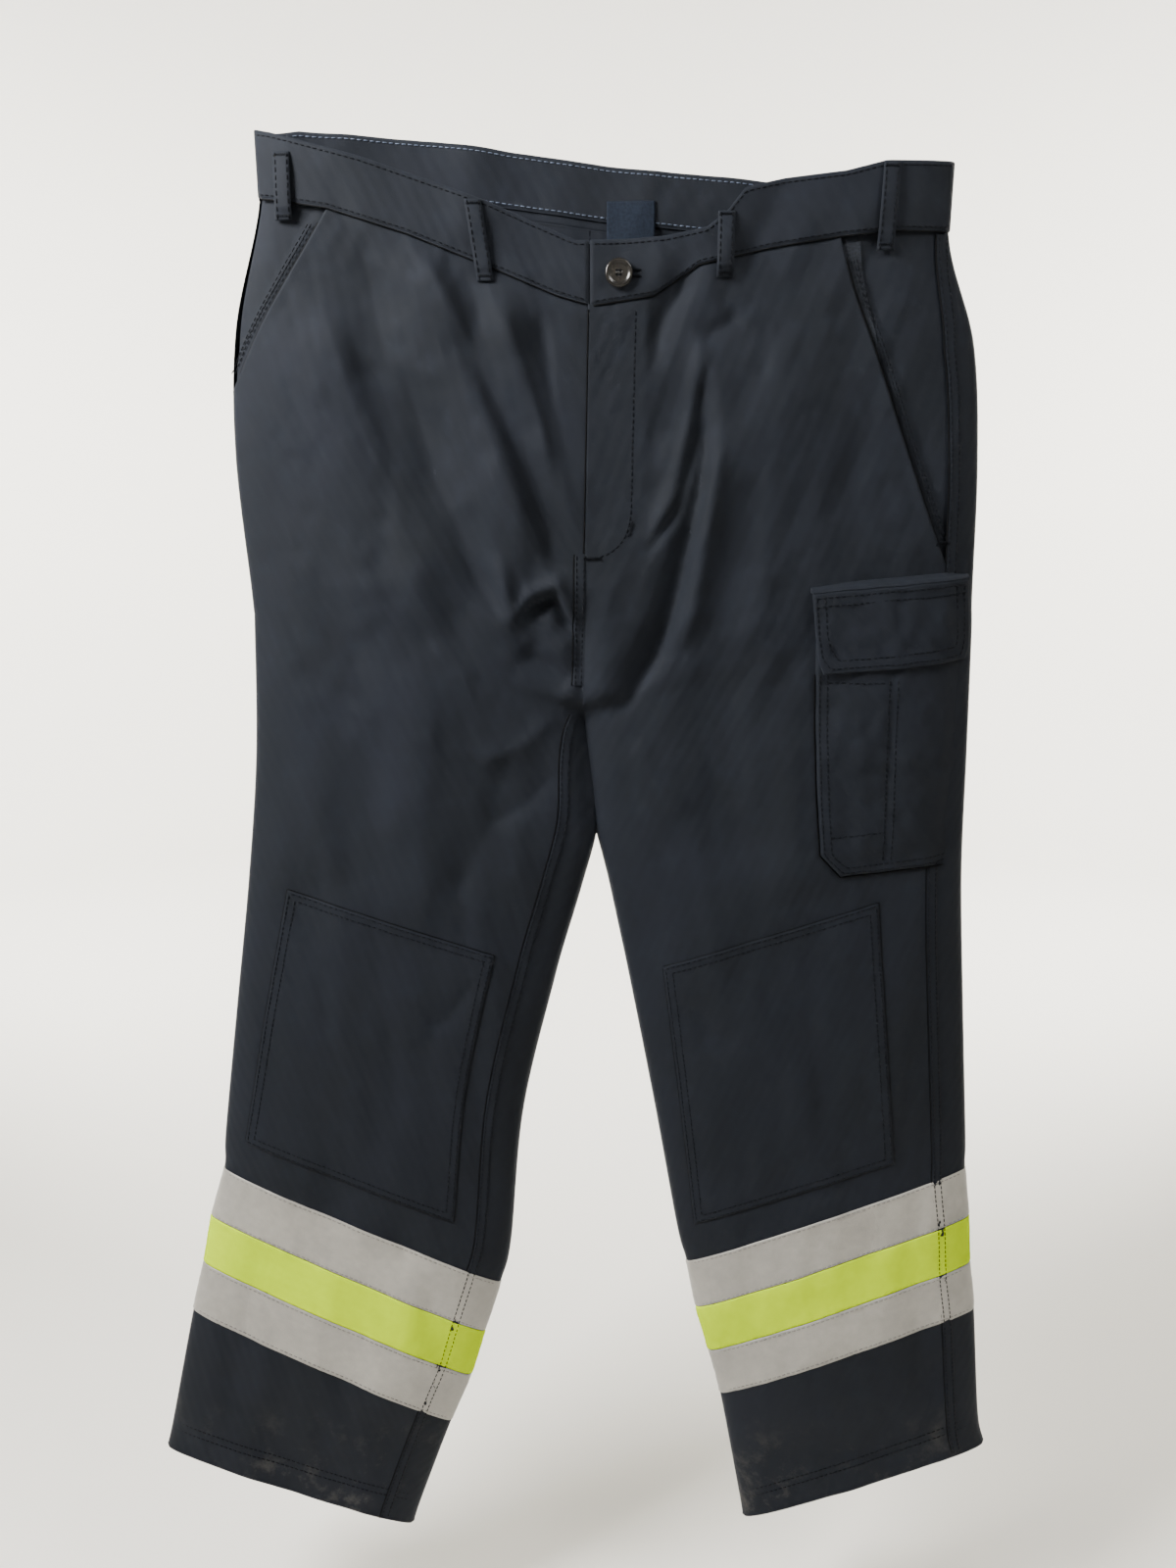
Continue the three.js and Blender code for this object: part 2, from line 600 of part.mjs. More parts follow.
// ---------- slant pockets: self-cloth facing set back behind the mouth, and a bag ----------
const facingIn = -GAP - CLOTH - POCKET_GAPE;
const bagEnds = {
  right: scaled([[-70, -64], [-66, -200], [-84, -285], [-130, -315], [-200, -300], [-292, -250]]),
  left: scaled([[62, -70], [66, -215], [84, -300], [128, -330], [190, -330], [262, -335]]),
};
for (const [name, leg] of Object.entries(legs)) {
  const s = leg.side;
  const seam = through(under(seamFront, -3));
  const shown = front(besideMouth(name, -40))
    .intersect(seam)
    .intersect(front(region(leg, 0, STATION.below, name === "right" ? -0.2 : (v) => frontOuter.left(v) - 0.03, 1)));
  add(
    "pocket_facing_" + name,
    shell(facingIn - 1.2, facingIn).intersect(shown).intersect(front(block(-FAR, FAR, pz(name === "right" ? -200 : -322), FAR))),
    "navy_twill",
  );
  const outline = [...bagEnds[name], [s * FAR, bagEnds[name].at(-1)[1]], [s * FAR, 100], [bagEnds[name][0][0], 100]];
  const bagArea = front(outline).intersect(seam).intersect(front(region(leg, 0, STATION.below, -0.2, 1)));
  const inset = front(outline.map(([x, z], i) => [x + (i < 4 ? s * 3 : 0), z + (i > 0 && i < 6 ? 3 : 0)]))
    .intersect(front(region(leg, 0, STATION.below, -0.2, 1)));
  const low = facingIn - 1.2 - GAP - 1;
  const bag = shell(low, -GAP)
    .intersect(bagArea)
    .subtract(shell(low + 1, -GAP - 1).intersect(inset))
    .subtract(shell(low + 1, 5).intersect(front(besideMouth(name, -1.5))));
  add("pocket_bag_" + name, largest(bag), "pocket_lining");
}
function largest(piece) {
  return piece.decompose().sort((a, b) => b.volume() - a.volume())[0];
}

// ---------- cargo pocket on the wearer's left thigh ----------
const cargoFrom = CLOTH + GAP;
const cargoTo = cargoFrom + CARGO_DEPTH + 1.2;
const cargo = scaled([
  [172, -306], [176, -408], [180, -463], [185, -511], [202, -529], [300, -520], [299, -420], [293, -300],
]);
const cargoHollow = scaled([
  [174, -200], [178, -408], [182, -463], [187, -510], [203, -527], [298, -518], [297, -420], [291, -200],
]);
const ribs = scaled([[229.5, -318], [235.5, -500], [237.5, -500], [231.5, -318]]);
const cargoShell = shell(cargoFrom, cargoTo);
const cargoEdge = front(region(legs.left, 0, LAST, 0.02, 1));
const cargoSpace = front(region(legs.left, 0, LAST, 0.03, 1));
add(
  "cargo_pocket",
  cargoShell
    .intersect(front(cargo))
    .intersect(cargoEdge)
    .subtract(shell(cargoFrom - 1, cargoTo - 1.2).intersect(front(cargoHollow)).intersect(cargoSpace))
    .add(shell(cargoFrom, cargoTo - 1).intersect(front(ribs))),
  "navy_twill",
);
const flapTop = scaled([[167, -298], [292, -287]]);
const loopStripOut = cargoTo + GAP;
const hookOut = loopStripOut + TRIM + GAP;
const flapOut = hookOut + TRIM + GAP;
const flapOutline = [
  ...flapTop.map(([x, z]) => [x, z - GAP]), ...scaled([[298, -347], [296, -350], [180, -363], [176, -360]]),
];
add(
  "cargo_flap_head",
  shell(cargoFrom, flapOut - GAP)
    .intersect(front([...flapTop, ...scaled([[291.4, -281], [166.6, -292]])]))
    .intersect(cargoEdge),
  "navy_twill",
);
add(
  "cargo_flap",
  shell(flapOut, flapOut + CLOTH).intersect(front(flapOutline)).intersect(cargoEdge),
  "navy_twill",
);
const gripArea = front(scaled([[186, -338], [268, -331], [268, -346], [186, -353]]));
add("loop_strip", shell(loopStripOut, loopStripOut + TRIM).intersect(gripArea), "hook_and_loop");
add("hook_strip", shell(hookOut, hookOut + TRIM).intersect(gripArea), "hook_and_loop");

// ---------- back pocket welts ----------
for (const [name, leg] of Object.entries(legs)) {
  const s = leg.side;
  const welt = scaled([[s * 62, -118], [s * 192, -110], [s * 192, -126], [s * 62, -134]]);
  add("back_welt_" + name, shell(CLOTH + GAP, CLOTH + GAP + 1.2).intersect(back(welt)), "navy_twill");
}

export default group;
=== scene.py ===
import math

import bmesh
import bpy
import numpy as np
from bpy.props import FloatProperty, FloatVectorProperty
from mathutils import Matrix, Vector


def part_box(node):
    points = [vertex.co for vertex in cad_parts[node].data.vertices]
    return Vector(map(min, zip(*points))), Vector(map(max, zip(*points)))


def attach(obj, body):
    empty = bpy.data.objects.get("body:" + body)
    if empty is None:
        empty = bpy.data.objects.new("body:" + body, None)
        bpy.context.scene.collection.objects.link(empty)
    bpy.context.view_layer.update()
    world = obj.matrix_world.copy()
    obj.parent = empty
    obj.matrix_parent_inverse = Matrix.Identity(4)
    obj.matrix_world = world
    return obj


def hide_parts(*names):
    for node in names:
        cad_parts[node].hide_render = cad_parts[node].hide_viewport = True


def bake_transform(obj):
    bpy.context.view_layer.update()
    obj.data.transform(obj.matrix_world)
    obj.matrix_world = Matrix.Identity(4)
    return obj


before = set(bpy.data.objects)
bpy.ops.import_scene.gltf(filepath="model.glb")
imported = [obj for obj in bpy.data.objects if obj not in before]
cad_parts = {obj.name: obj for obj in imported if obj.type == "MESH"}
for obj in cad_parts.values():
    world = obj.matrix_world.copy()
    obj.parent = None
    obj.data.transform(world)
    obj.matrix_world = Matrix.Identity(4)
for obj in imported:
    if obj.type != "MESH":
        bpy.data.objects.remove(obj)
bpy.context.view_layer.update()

bl_info = {
    "name": "Firefighter's Trousers",
    "version": (1, 0, 0),
    "blender": (4, 5, 0),
    "location": "3D View > Sidebar > Trousers",
    "description": "Builds a hanging pair of firefighter's work trousers over its packed frame",
    "category": "Object",
}

# ---------------------------------------------------------------------------
# The cut of the trousers, in millimetres. The wearer faces -Y; +X is the wearer's left.
# ---------------------------------------------------------------------------
OUTER = {
    "right": [
        (-243, 60), (-243, -16), (-267, -105), (-274, -195), (-269, -300), (-269, -330),
        (-275, -430), (-288, -531), (-307, -650), (-326, -770), (-330, -806), (-345, -855),
        (-356, -903), (-370, -954), (-399, -1074), (-407, -1104), (-413, -1130),
    ],
    "left": [
        (256, 60), (256, -38), (281, -115), (291, -200), (295, -300), (297, -330),
        (301, -430), (305, -531), (316, -652), (328, -775), (330, -806), (337, -855),
        (342, -903), (350, -953), (363, -1066), (371, -1100), (378, -1130),
    ],
}
INNER = {
    "right": [
        (-5, 60), (-5, -89), (-6, -175), (-8, -270), (-10, -372), (-13, -402),
        (-3, -495), (-34, -618), (-64, -748), (-77, -880), (-87, -923), (-103, -976),
        (-117, -1024), (-137, -1076), (-167, -1162), (-177, -1194), (-184, -1222),
    ],
    "left": [
        (-5, 60), (-5, -89), (-6, -175), (-8, -270), (-10, -372), (-5, -402),
        (5, -495), (30, -620), (54, -744), (76, -866), (85, -901), (95, -950),
        (108, -997), (120, -1045), (141, -1157), (146, -1186), (151, -1215),
    ],
}
# Half the depth from front to back at each station from the waist down.
HALF_DEPTH = [25, 25, 25, 25, 26, 26, 27, 28, 28, 28, 28, 28, 28, 28, 29, 30, 30]
FORK, BANDS, HEM_STITCH, HEM = 4, (10, 11, 12, 13), 14, 15
EDGE_POWER = 2.6  # how boxy a flattened leg is
CLOTH = 1.2  # thickness of one layer
BAND_TOP_FRONT = [
    (-243, 29), (-168, 10), (-112, -8), (-79, -19), (-45, -33), (-15, -45), (24, -44),
    (50, -42), (80, -36), (95, -25), (107, -10), (135, -4), (179, 1), (208, 8), (256, 8),
]
BAND_TOP_BACK = [
    (-243, 29), (-218, 34), (-178, 33), (-119, 29), (8, 13), (123, 2), (160, 0), (256, 8),
]
WAIST_SEAM = [
    (-243, -16), (-195, -23), (-138, -40), (-82, -61), (-29, -82), (-3, -89), (43, -82),
    (75, -61), (99, -56), (125, -50), (177, -42), (219, -38), (256, -38),
]
BAND_HEIGHT = 46
FLY_X = -5
WAIST = (-243.0, 256.0)  # the waistband's two side edges
WAIST_HALF_DEPTH = 25
POCKET_MOUTH = {
    "right": [(-182, 0), (-194, -24), (-224, -68), (-247, -103), (-273, -150), (-300, -190)],
    "left": [
        (171, -20), (177, -44), (188, -78), (208, -125), (233, -187), (262, -257), (290, -318),
    ],
}
FRONT_EASE = 0.7 / 900  # how much shorter and narrower, for each millimetre out
MIDDLE = (-6, -229)  # the point that the fronts ease towards


def line_at(points, x):
    """Height of a line drawn from left to right, at x."""
    p = np.array(points, float)
    return np.interp(x, p[:, 0], p[:, 1])


def spline(points, t):
    """A smooth curve through evenly numbered points; t counts the points."""
    p = np.array(points, float)
    n = len(p)
    i = np.clip(np.floor(t).astype(int), 0, n - 2)
    w = (t - i)[..., None]
    p0, p1, p2, p3 = p[np.maximum(i - 1, 0)], p[i], p[i + 1], p[np.minimum(i + 2, n - 1)]
    a, b = (p2 - p0) / 2, (p3 - p1) / 2
    return (2 * p1 - 2 * p2 + a + b) * w**3 + (-3 * p1 + 3 * p2 - 2 * a - b) * w**2 + a * w + p1


def smooth(x, a, b):
    """0 up to a, 1 from b, and an even curve between them."""
    t = np.clip((x - a) / (b - a), 0, 1)
    return t * t * (3 - 2 * t)


# ---------------------------------------------------------------------------
# Folds and wrinkles: how far the cloth stands out of its plain shape, in millimetres
# ---------------------------------------------------------------------------
class Field:
    """Smooth random relief with features between two lengths, stretched along one direction."""

    def __init__(self, seed, short, long, stretch=1.0, lean=0.0, step=3.0, size=(300, 460)):
        rng = np.random.default_rng(seed)
        self.step, self.size = step, size
        fx = np.fft.fftfreq(size[0], step)[:, None]
        fz = np.fft.fftfreq(size[1], step)[None, :]
        c, s = math.cos(lean), math.sin(lean)
        f = np.hypot(fx * c + fz * s, (fz * c - fx * s) * stretch)
        keep = np.exp(-((f * short) ** 2)) * (1 - np.exp(-((f * long) ** 2)))
        g = np.real(np.fft.ifft2(np.fft.fft2(rng.standard_normal(size)) * keep))
        self.g = g / g.std()

    def __call__(self, x, z):
        i, k = (x + 450) / self.step, (z + 1300) / self.step
        i0, k0 = np.floor(i).astype(int), np.floor(k).astype(int)
        a, b = i - i0, k - k0
        n, m = self.size
        g = self.g
        i0, i1, k0, k1 = i0 % n, (i0 + 1) % n, k0 % m, (k0 + 1) % m
        return (
            g[i0, k0] * (1 - a) * (1 - b) + g[i1, k0] * a * (1 - b)
            + g[i0, k1] * (1 - a) * b + g[i1, k1] * a * b
        )


def crease(x, z, points, height, left, right, sharp=1.3):
    """One fold along a line: its crest or valley, with its own width on each side."""
    p = np.array(points, float)
    best = np.full(np.shape(x), 1e9)
    value = np.zeros(np.shape(x))
    lengths = np.r_[0, np.cumsum(np.hypot(*np.diff(p, axis=0).T))]
    for j in range(len(p) - 1):
        a, d = p[j], p[j + 1] - p[j]
        length = math.hypot(*d)
        t = np.clip(((x - a[0]) * d[0] + (z - a[1]) * d[1]) / length**2, 0, 1)
        dx, dz = x - a[0] - t * d[0], z - a[1] - t * d[1]
        dist = np.hypot(dx, dz)
        side = np.sign(d[0] * dz - d[1] * dx)
        along = (lengths[j] + t * length) / lengths[-1]
        fade = smooth(along, 0, 0.22) * smooth(1 - along, 0, 0.22)
        here = height * fade * np.exp(-((dist / np.where(side > 0, left, right)) ** sharp))
        value = np.where(dist < best, here, value)
        best = np.minimum(best, dist)
    return value


# Each fold: the line it follows, its height, its widths on the two sides of the line.
FRONT_FOLDS = [
    ([(-150, -30), (-112, -78), (-92, -125), (-70, -184), (-42, -251), (-24, -310)], 8, 9, 34),
    ([(-112, -84), (-83, -145), (-60, -200), (-38, -258), (-26, -300)], -7.5, 14, 8),
    ([(-82, -66), (-62, -114), (-43, -167), (-24, -223), (-10, -262)], 4.5, 10, 16),
    ([(-205, -60), (-185, -140), (-150, -240), (-110, -330)], 4.5, 16, 44),
    ([(-150, -120), (-125, -200), (-95, -280), (-70, -330)], -4, 22, 12),
    ([(-46, -86), (-36, -130), (-22, -180), (-12, -215)], -2.6, 12, 7),
    ([(-177, -32), (-168, -62), (-160, -119), (-157, -200), (-165, -300)], -4, 34, 34),
    ([(-76, -262), (-66, -318), (-50, -300), (-30, -292), (-12, -330)], 4.5, 6, 7),
    ([(-62, -322), (-48, -310), (-32, -303), (-16, -332)], -5.5, 5, 7),
    ([(-60, -340), (-42, -352), (-16, -372)], -3.5, 9, 12),
    ([(-264, -250), (-240, -320), (-218, -384)], -1.8, 12, 12),
    ([(-258, -380), (-235, -460), (-213, -545)], 2.2, 14, 22),
    ([(-120, -330), (-135, -430), (-150, -540), (-160, -600)], 3.0, 34, 40),
    ([(-70, -420), (-85, -480), (-120, -560)], -2.6, 22, 20),
    ([(80, -100), (70, -177), (58, -226), (44, -252), (28, -270)], 5.5, 26, 6),
    ([(84, -118), (73, -190), (62, -235), (46, -260), (26, -276)], -4.5, 5, 9),
    ([(86, -128), (80, -212), (69, -272), (58, -319), (47, -348), (28, -380), (8, -408)],
     -8, 6, 13),
    ([(96, -170), (86, -250), (77, -310), (62, -350)], 5.5, 8, 26),
    ([(70, -66), (52, -92), (27, -128)], -2.6, 8, 8),
    ([(76, -116), (92, -104), (108, -94)], -2.4, 7, 7),
    ([(150, -95), (135, -190), (130, -290), (138, -370)], 3.4, 34, 40),
    ([(110, -330), (104, -430), (118, -540)], -2.4, 26, 30),
    ([(165, -390), (162, -470), (168, -560)], 2.6, 30, 22),
    ([(30, -410), (48, -450), (80, -480)], 2.0, 9, 12),
    ([(20, -440), (40, -490), (66, -525)], -1.8, 10, 12),
    ([(-30, -395), (-60, -420), (-96, -436)], 2.2, 8, 10),
    ([(-26, -436), (-56, -468), (-92, -490)], -1.8, 9, 12),
    ([(-10, -290), (-12, -360), (-8, -430), (0, -520)], -5, 13, 13),
    ([(-150, -880), (-175, -980), (-205, -1090)], 2.4, 34, 36),
    ([(-300, -860), (-322, -960), (-345, -1060)], -2.2, 24, 26),
    ([(180, -880), (205, -990), (225, -1110)], 2.6, 34, 34),
    ([(290, -880), (300, -980), (318, -1060)], -2.4, 22, 26),
    ([(-100, -620), (-125, -660), (-150, -668)], -1.8, 9, 10),
    ([(75, -640), (100, -672), (130, -680)], -1.6, 9, 10),
]
BACK_FOLDS = [
    ([(-20, -330), (-70, -350), (-130, -355), (-190, -345)], -4.5, 14, 20),
    ([(-10, -360), (-60, -392), (-120, -405)], 3.6, 14, 16),
    ([(10, -330), (70, -352), (140, -352), (200, -338)], -4.2, 18, 16),
    ([(5, -365), (60, -398), (120, -408)], 3.2, 14, 16),
    ([(-150, -90), (-160, -180), (-150, -280)], -3.2, 34, 34),
    ([(150, -90), (162, -180), (155, -280)], -3.2, 34, 34),
    ([(-6, -60), (-8, -160), (-9, -280)], -3.0, 20, 20),
    ([(-245, -640), (-190, -680), (-120, -700)], -3.4, 12, 14),
    ([(-250, -700), (-190, -735), (-120, -750)], 3.0, 12, 14),
    ([(250, -640), (190, -675), (110, -690)], -3.4, 14, 12),
    ([(260, -700), (190, -730), (120, -748)], 3.0, 14, 12),
    ([(-180, -420), (-200, -520), (-215, -600)], 3.0, 36, 36),
    ([(170, -420), (180, -520), (190, -600)], 3.0, 36, 36),
    ([(-190, -840), (-220, -960), (-260, -1080)], 3.2, 36, 36),
    ([(190, -840), (215, -960), (250, -1090)], 3.2, 36, 36),
]
BROAD = [Field(11, 60, 240, 2.2), Field(12, 60, 240, 1.6)]
# Long soft folds that run down towards the fork, one set for each side, and down the legs.
STREAKS = {"right": Field(61, 26, 80, 4.0, 0.6), "left": Field(62, 26, 80, 4.0, -0.42)}
DOWN = Field(63, 26, 90, 4.0, 0.06)
MEDIUM = [Field(21, 16, 60, 1.5, 0.3), Field(22, 16, 60, 1.2, -0.2)]
SMALL = [Field(31, 5.5, 20, 1.3, -0.4), Field(32, 5.5, 20, 1.3, 0.5)]
PATCHY = Field(41, 50, 200)
RIPPLE = Field(51, 4.5, 14)


def relief(x, z, side):
    """Height of the cloth's relief at (x, z) on the front (side -1) or the back (side 1)."""
    k = 0 if side < 0 else 1
    h = sum(
        crease(x, z, line, height, a, b) for line, height, a, b in (FRONT_FOLDS, BACK_FOLDS)[k]
    )
    lively = 0.35 + 0.65 * smooth(PATCHY(x, z), -0.8, 1.2)
    hip = smooth(z, -470, -330)
    across = smooth(x, -30, 20)
    streaks = STREAKS["right"](x, z) * (1 - across) + STREAKS["left"](x, z) * across
    calm = 0.45 + 0.55 * hip
    h = 1.75 * h + 1.2 * BROAD[k](x, z) + 0.42 * MEDIUM[k](x, z) * lively * calm
    h = h + (0.8 * streaks * hip + 0.5 * DOWN(x, z) * (1 - hip)) * (0.5 + 0.5 * lively)
    h = h + 0.1 * SMALL[k](x, z) * lively
    # Small puckers beside the fly's stitching, and crushed cloth at the tops of the sides.
    placket = smooth(x, -6, 0) * smooth(-x, -34, -26) * smooth(z, -215, -150)
    h = h + 0.55 * RIPPLE(x * 0.6 + 40, z * 1.1) * placket * (side < 0)
    quiet = 1 - 0.45 * smooth(z, -70, 0)
    # Over the zip the cloth is doubled and stiff, and can't fall in.
    fly = smooth(x, -42, -28) * smooth(-x, -46, -36) * smooth(z, -290, -270) * (side < 0)
    return h * quiet * (1 - fly) + fly * np.clip(h * 0.5, -0.7, 3.0)


def set_in(x, y, z):
    """The front of each leg is cut a little shorter and narrower than its outline, because it
    stands out towards the wearer's front: every point moves in as far as it stands out."""
    k = FRONT_EASE * np.minimum(y, 0)
    return np.stack([x + (x - MIDDLE[0]) * k, y, z + (z - MIDDLE[1]) * k], -1)


# ---------------------------------------------------------------------------
# The shape: u runs from a leg's outer edge (0) to its inner edge (1), v down its stations
# ---------------------------------------------------------------------------
class Leg:
    """One side of the trousers, from the waist down to the hem."""

    def __init__(self, name):
        self.name = name
        self.sign = -1 if name == "right" else 1
        self.v = np.linspace(0, 16, 3201)
        self.o = spline(OUTER[name], self.v)
        self.i = spline(INNER[name], self.v)
        # The thighs hang pressed together below the fork.
        press = smooth(self.v, 4.3, 5.0) * (1 - smooth(self.v, 5.6, 6.4))
        self.i[:, 0] -= self.sign * 5.5 * press

    def row(self, v):
        """The outer and the inner end of a row."""
        v = np.asarray(v, float)
        o = np.stack([np.interp(v, self.v, self.o[:, k]) for k in (0, 1)], -1)
        i = np.stack([np.interp(v, self.v, self.i[:, k]) for k in (0, 1)], -1)
        return o, i

    def flat(self, u, v):
        """The (x, z) of u and v."""
        o, i = self.row(v)
        return o + (i - o) * u[..., None]

    def length(self, v):
        """How long a row is."""
        o, i = self.row(v)
        return np.hypot(*np.moveaxis(i - o, -1, 0))

    def mm(self, v, millimetres):
        """A distance along the row, as a share of it."""
        return millimetres / self.length(v)

    def fullness(self, u, v):
        """The depth at u as a share of the row's own: 0 at a closed edge, 1 in the middle."""
        w = smooth(v, FORK, FORK + 1.0)
        far = np.abs(1 - 2 * u) ** EDGE_POWER
        return (1 - np.where(u < 0.5, 1.0, w) * np.minimum(far, 1)) ** (1 / EDGE_POWER)

    def at(self, u, v, side, out=CLOTH, folds=1.0):
        """Points on the cloth: out is the height over the plain body, side -1 is the front."""
        u, v, side, out = np.broadcast_arrays(
            np.asarray(u, float), np.asarray(v, float), np.asarray(side, float),
            np.asarray(out, float),
        )
        o, i = self.row(v)
        d = i - o
        d = d / np.hypot(d[..., 0], d[..., 1])[..., None]
        w = smooth(v, FORK, FORK + 1.0)
        o = o - d * out[..., None]
        i = i + d * (out * w + (1 - w))[..., None]
        p = o + (i - o) * u[..., None]
        x, z = p[..., 0], p[..., 1]
        depth = np.interp(v, np.arange(17), HALF_DEPTH) + out
        e = self.fullness(u, v)
        h = np.where(side < 0, relief(x, z, -1), relief(x, z, 1)) * folds * e**1.5
        return set_in(x, side * (depth * e + h), z)

    def find(self, x, z):
        """The (u, v) of points given by x and z."""
        x, z = np.asarray(x, float), np.asarray(z, float)
        low, high = np.zeros(x.shape), np.full(x.shape, 16.0)
        for _ in range(34):
            v = (low + high) / 2
            o, i = self.row(v)
            d = i - o
            above = (d[..., 0] * (z - o[..., 1]) - d[..., 1] * (x - o[..., 0])) * -self.sign
            low, high = np.where(above < 0, v, low), np.where(above < 0, high, v)
        o, i = self.row(v)
        d = i - o
        u = ((x - o[..., 0]) * d[..., 0] + (z - o[..., 1]) * d[..., 1]) / (d**2).sum(-1)
        return np.clip(u, 0, 1), v

    def over(self, x, z, side, out, folds=1.0, stiff=None):
        """Points over given x and z, set off along the cloth's own normal.
        Beyond x = stiff the piece runs on straight instead of following the cloth round."""
        x, z, out = np.broadcast_arrays(np.asarray(x, float), np.asarray(z, float), out)
        if stiff is None:
            p, n = self.skin(x, z, side, folds)
            return p + n * (out - CLOTH)[..., None]
        p, n = self.skin(np.minimum(x, stiff), z, side, folds)
        p = p + n * [0.15, 1, 1] * (out - CLOTH)[..., None]
        beyond = np.maximum(x - stiff, 0)
        p[..., 0] += beyond
        p[..., 1] -= side * beyond * 0.55
        return p

    def skin(self, x, z, side, folds=1.0):
        """The points of the cloth's outer face over given x and z, and its normals there."""
        u, v = self.find(x, z)
        step = 1.5
        ys = []
        for dx, dz in ((0, 0), (step, 0), (0, step)):
            uu, vv = (u, v) if dx == dz == 0 else self.find(x + dx, z + dz)
            depth = np.interp(vv, np.arange(17), HALF_DEPTH) + CLOTH
            e = self.fullness(uu, vv)
            ys.append(side * (depth * e + relief(x + dx, z + dz, side) * folds * e**1.5))
        n = np.stack([-(ys[1] - ys[0]) / step, np.ones(x.shape), -(ys[2] - ys[0]) / step], -1)
        n *= side / np.linalg.norm(n, axis=-1, keepdims=True)
        n[..., 0] = np.clip(n[..., 0], -0.75, 0.75)
        return set_in(x, ys[0], z), n


LEGS = {"right": Leg("right"), "left": Leg("left")}


def roll(v, name):
    """How far the right inseam and the left outseam have rolled round to the front."""
    if name == "right":
        return 28 * smooth(v, FORK + 0.4, FORK + 1.8)
    return 4 + 14 * np.clip(v - 1, 0, 1) + 9 * smooth(v, 4.5, 7.5)


def seam_u(name, v):
    """Where the seam that shows on the front lies."""
    v = np.asarray(v, float)
    leg = LEGS[name]
    if name == "right":
        return 1 - leg.mm(v, roll(v, name))
    return leg.mm(v, roll(v, name))


def mouth_u(name, v):
    """Where the slant pocket's mouth crosses each row, or 0 below it."""
    leg = LEGS[name]
    p = np.array(POCKET_MOUTH[name], float)
    t = np.linspace(0, len(p) - 1, 200)
    q = spline(p, t)
    u, w = leg.find(q[:, 0], q[:, 1])
    order = np.argsort(w)
    return np.interp(v, w[order], u[order], right=0.0)


# ---------------------------------------------------------------------------
# Materials
# ---------------------------------------------------------------------------
def linear(hex_colour):
    """sRGB hex to the linear colour that a shader takes."""
    c = np.array([int(hex_colour[i : i + 2], 16) for i in (1, 3, 5)]) / 255
    c = np.where(c <= 0.04045, c / 12.92, ((c + 0.055) / 1.055) ** 2.4)
    return (*[float(x) for x in c], 1.0)


def node(tree, kind, settings=None, links=None):
    """Adds one node; settings are its own values or its sockets', links feed its sockets."""
    n = tree.nodes.new(kind)
    for key, value in (settings or {}).items():
        if isinstance(key, int) or key in n.inputs:
            n.inputs[key].default_value = value
        else:
            setattr(n, key, value)
    for key, source in (links or {}).items():
        tree.links.new(source, n.inputs[key])
    return n


def ramp(tree, source, stops):
    """A colour ramp's colour; a stop's colour is four linear values, or one for a grey."""
    n = node(tree, "ShaderNodeValToRGB", links={"Fac": source})
    while len(n.color_ramp.elements) > len(stops):
        n.color_ramp.elements.remove(n.color_ramp.elements[-1])
    for k, (place, colour) in enumerate(stops):
        e = (
            n.color_ramp.elements[k]
            if k < len(n.color_ramp.elements)
            else n.color_ramp.elements.new(place)
        )
        e.position = place
        e.color = colour if isinstance(colour, tuple) else (colour, colour, colour, 1)
    return n.outputs["Color"]


def noise_at(tree, place, scale, detail=2.0, roughness=0.5):
    """The value of a noise texture."""
    return node(
        tree, "ShaderNodeTexNoise",
        {"Scale": scale, "Detail": detail, "Roughness": roughness}, {"Vector": place},
    ).outputs["Fac"]


def times(tree, a, b):
    """Two values multiplied; the second may be a plain number."""
    links, settings = {0: a}, {"operation": "MULTIPLY"}
    (settings if isinstance(b, float) else links)[1] = b
    return node(tree, "ShaderNodeMath", settings, links).outputs[0]


def darkened(tree, colour, by, amount):
    """A colour multiplied by a grey, by some amount."""
    return node(
        tree, "ShaderNodeMix", {"data_type": "RGBA", "blend_type": "MULTIPLY", 0: amount},
        {6: colour, 7: by},
    ).outputs[2]


def tinted(tree, colour, other, share):
    """A colour mixed with another plain colour, by a share that a texture gives."""
    return node(
        tree, "ShaderNodeMix", {"data_type": "RGBA", 7: linear(other)}, {6: colour, 0: share}
    ).outputs[2]


def waves(tree, place, millimetres, settings):
    """Bands so far apart. Its place is in metres, and a wave is 1 / (20 * scale) of it long."""
    settings = {"Scale": 1 / (20 * millimetres / 1000), **settings}
    return node(tree, "ShaderNodeTexWave", settings, {"Vector": place}).outputs["Fac"]


def object_space(tree):
    return node(tree, "ShaderNodeTexCoord").outputs["Object"]


def cloth_space(tree):
    return node(tree, "ShaderNodeUVMap", {"uv_map": "cloth"}).outputs["UV"]


def start(name):
    """A new material with an empty tree, or the one that is there already and no tree."""
    m = bpy.data.materials.get(name)
    if m:
        return m, None
    m = bpy.data.materials.new(name)
    m.use_nodes = True
    m.node_tree.nodes.clear()
    return m, m.node_tree


def finish(tree, colour, settings, height=None, strength=0.3, reach=0.0006):
    """Closes a material: its colour, its surface settings and a bump from a height."""
    links = {"Base Color": colour}
    if height is not None:
        bump = node(
            tree, "ShaderNodeBump", {"Strength": strength, "Distance": reach}, {"Height": height}
        )
        links["Normal"] = bump.outputs["Normal"]
    s = node(tree, "ShaderNodeBsdfPrincipled", settings, links)
    node(tree, "ShaderNodeOutputMaterial", links={"Surface": s.outputs["BSDF"]})


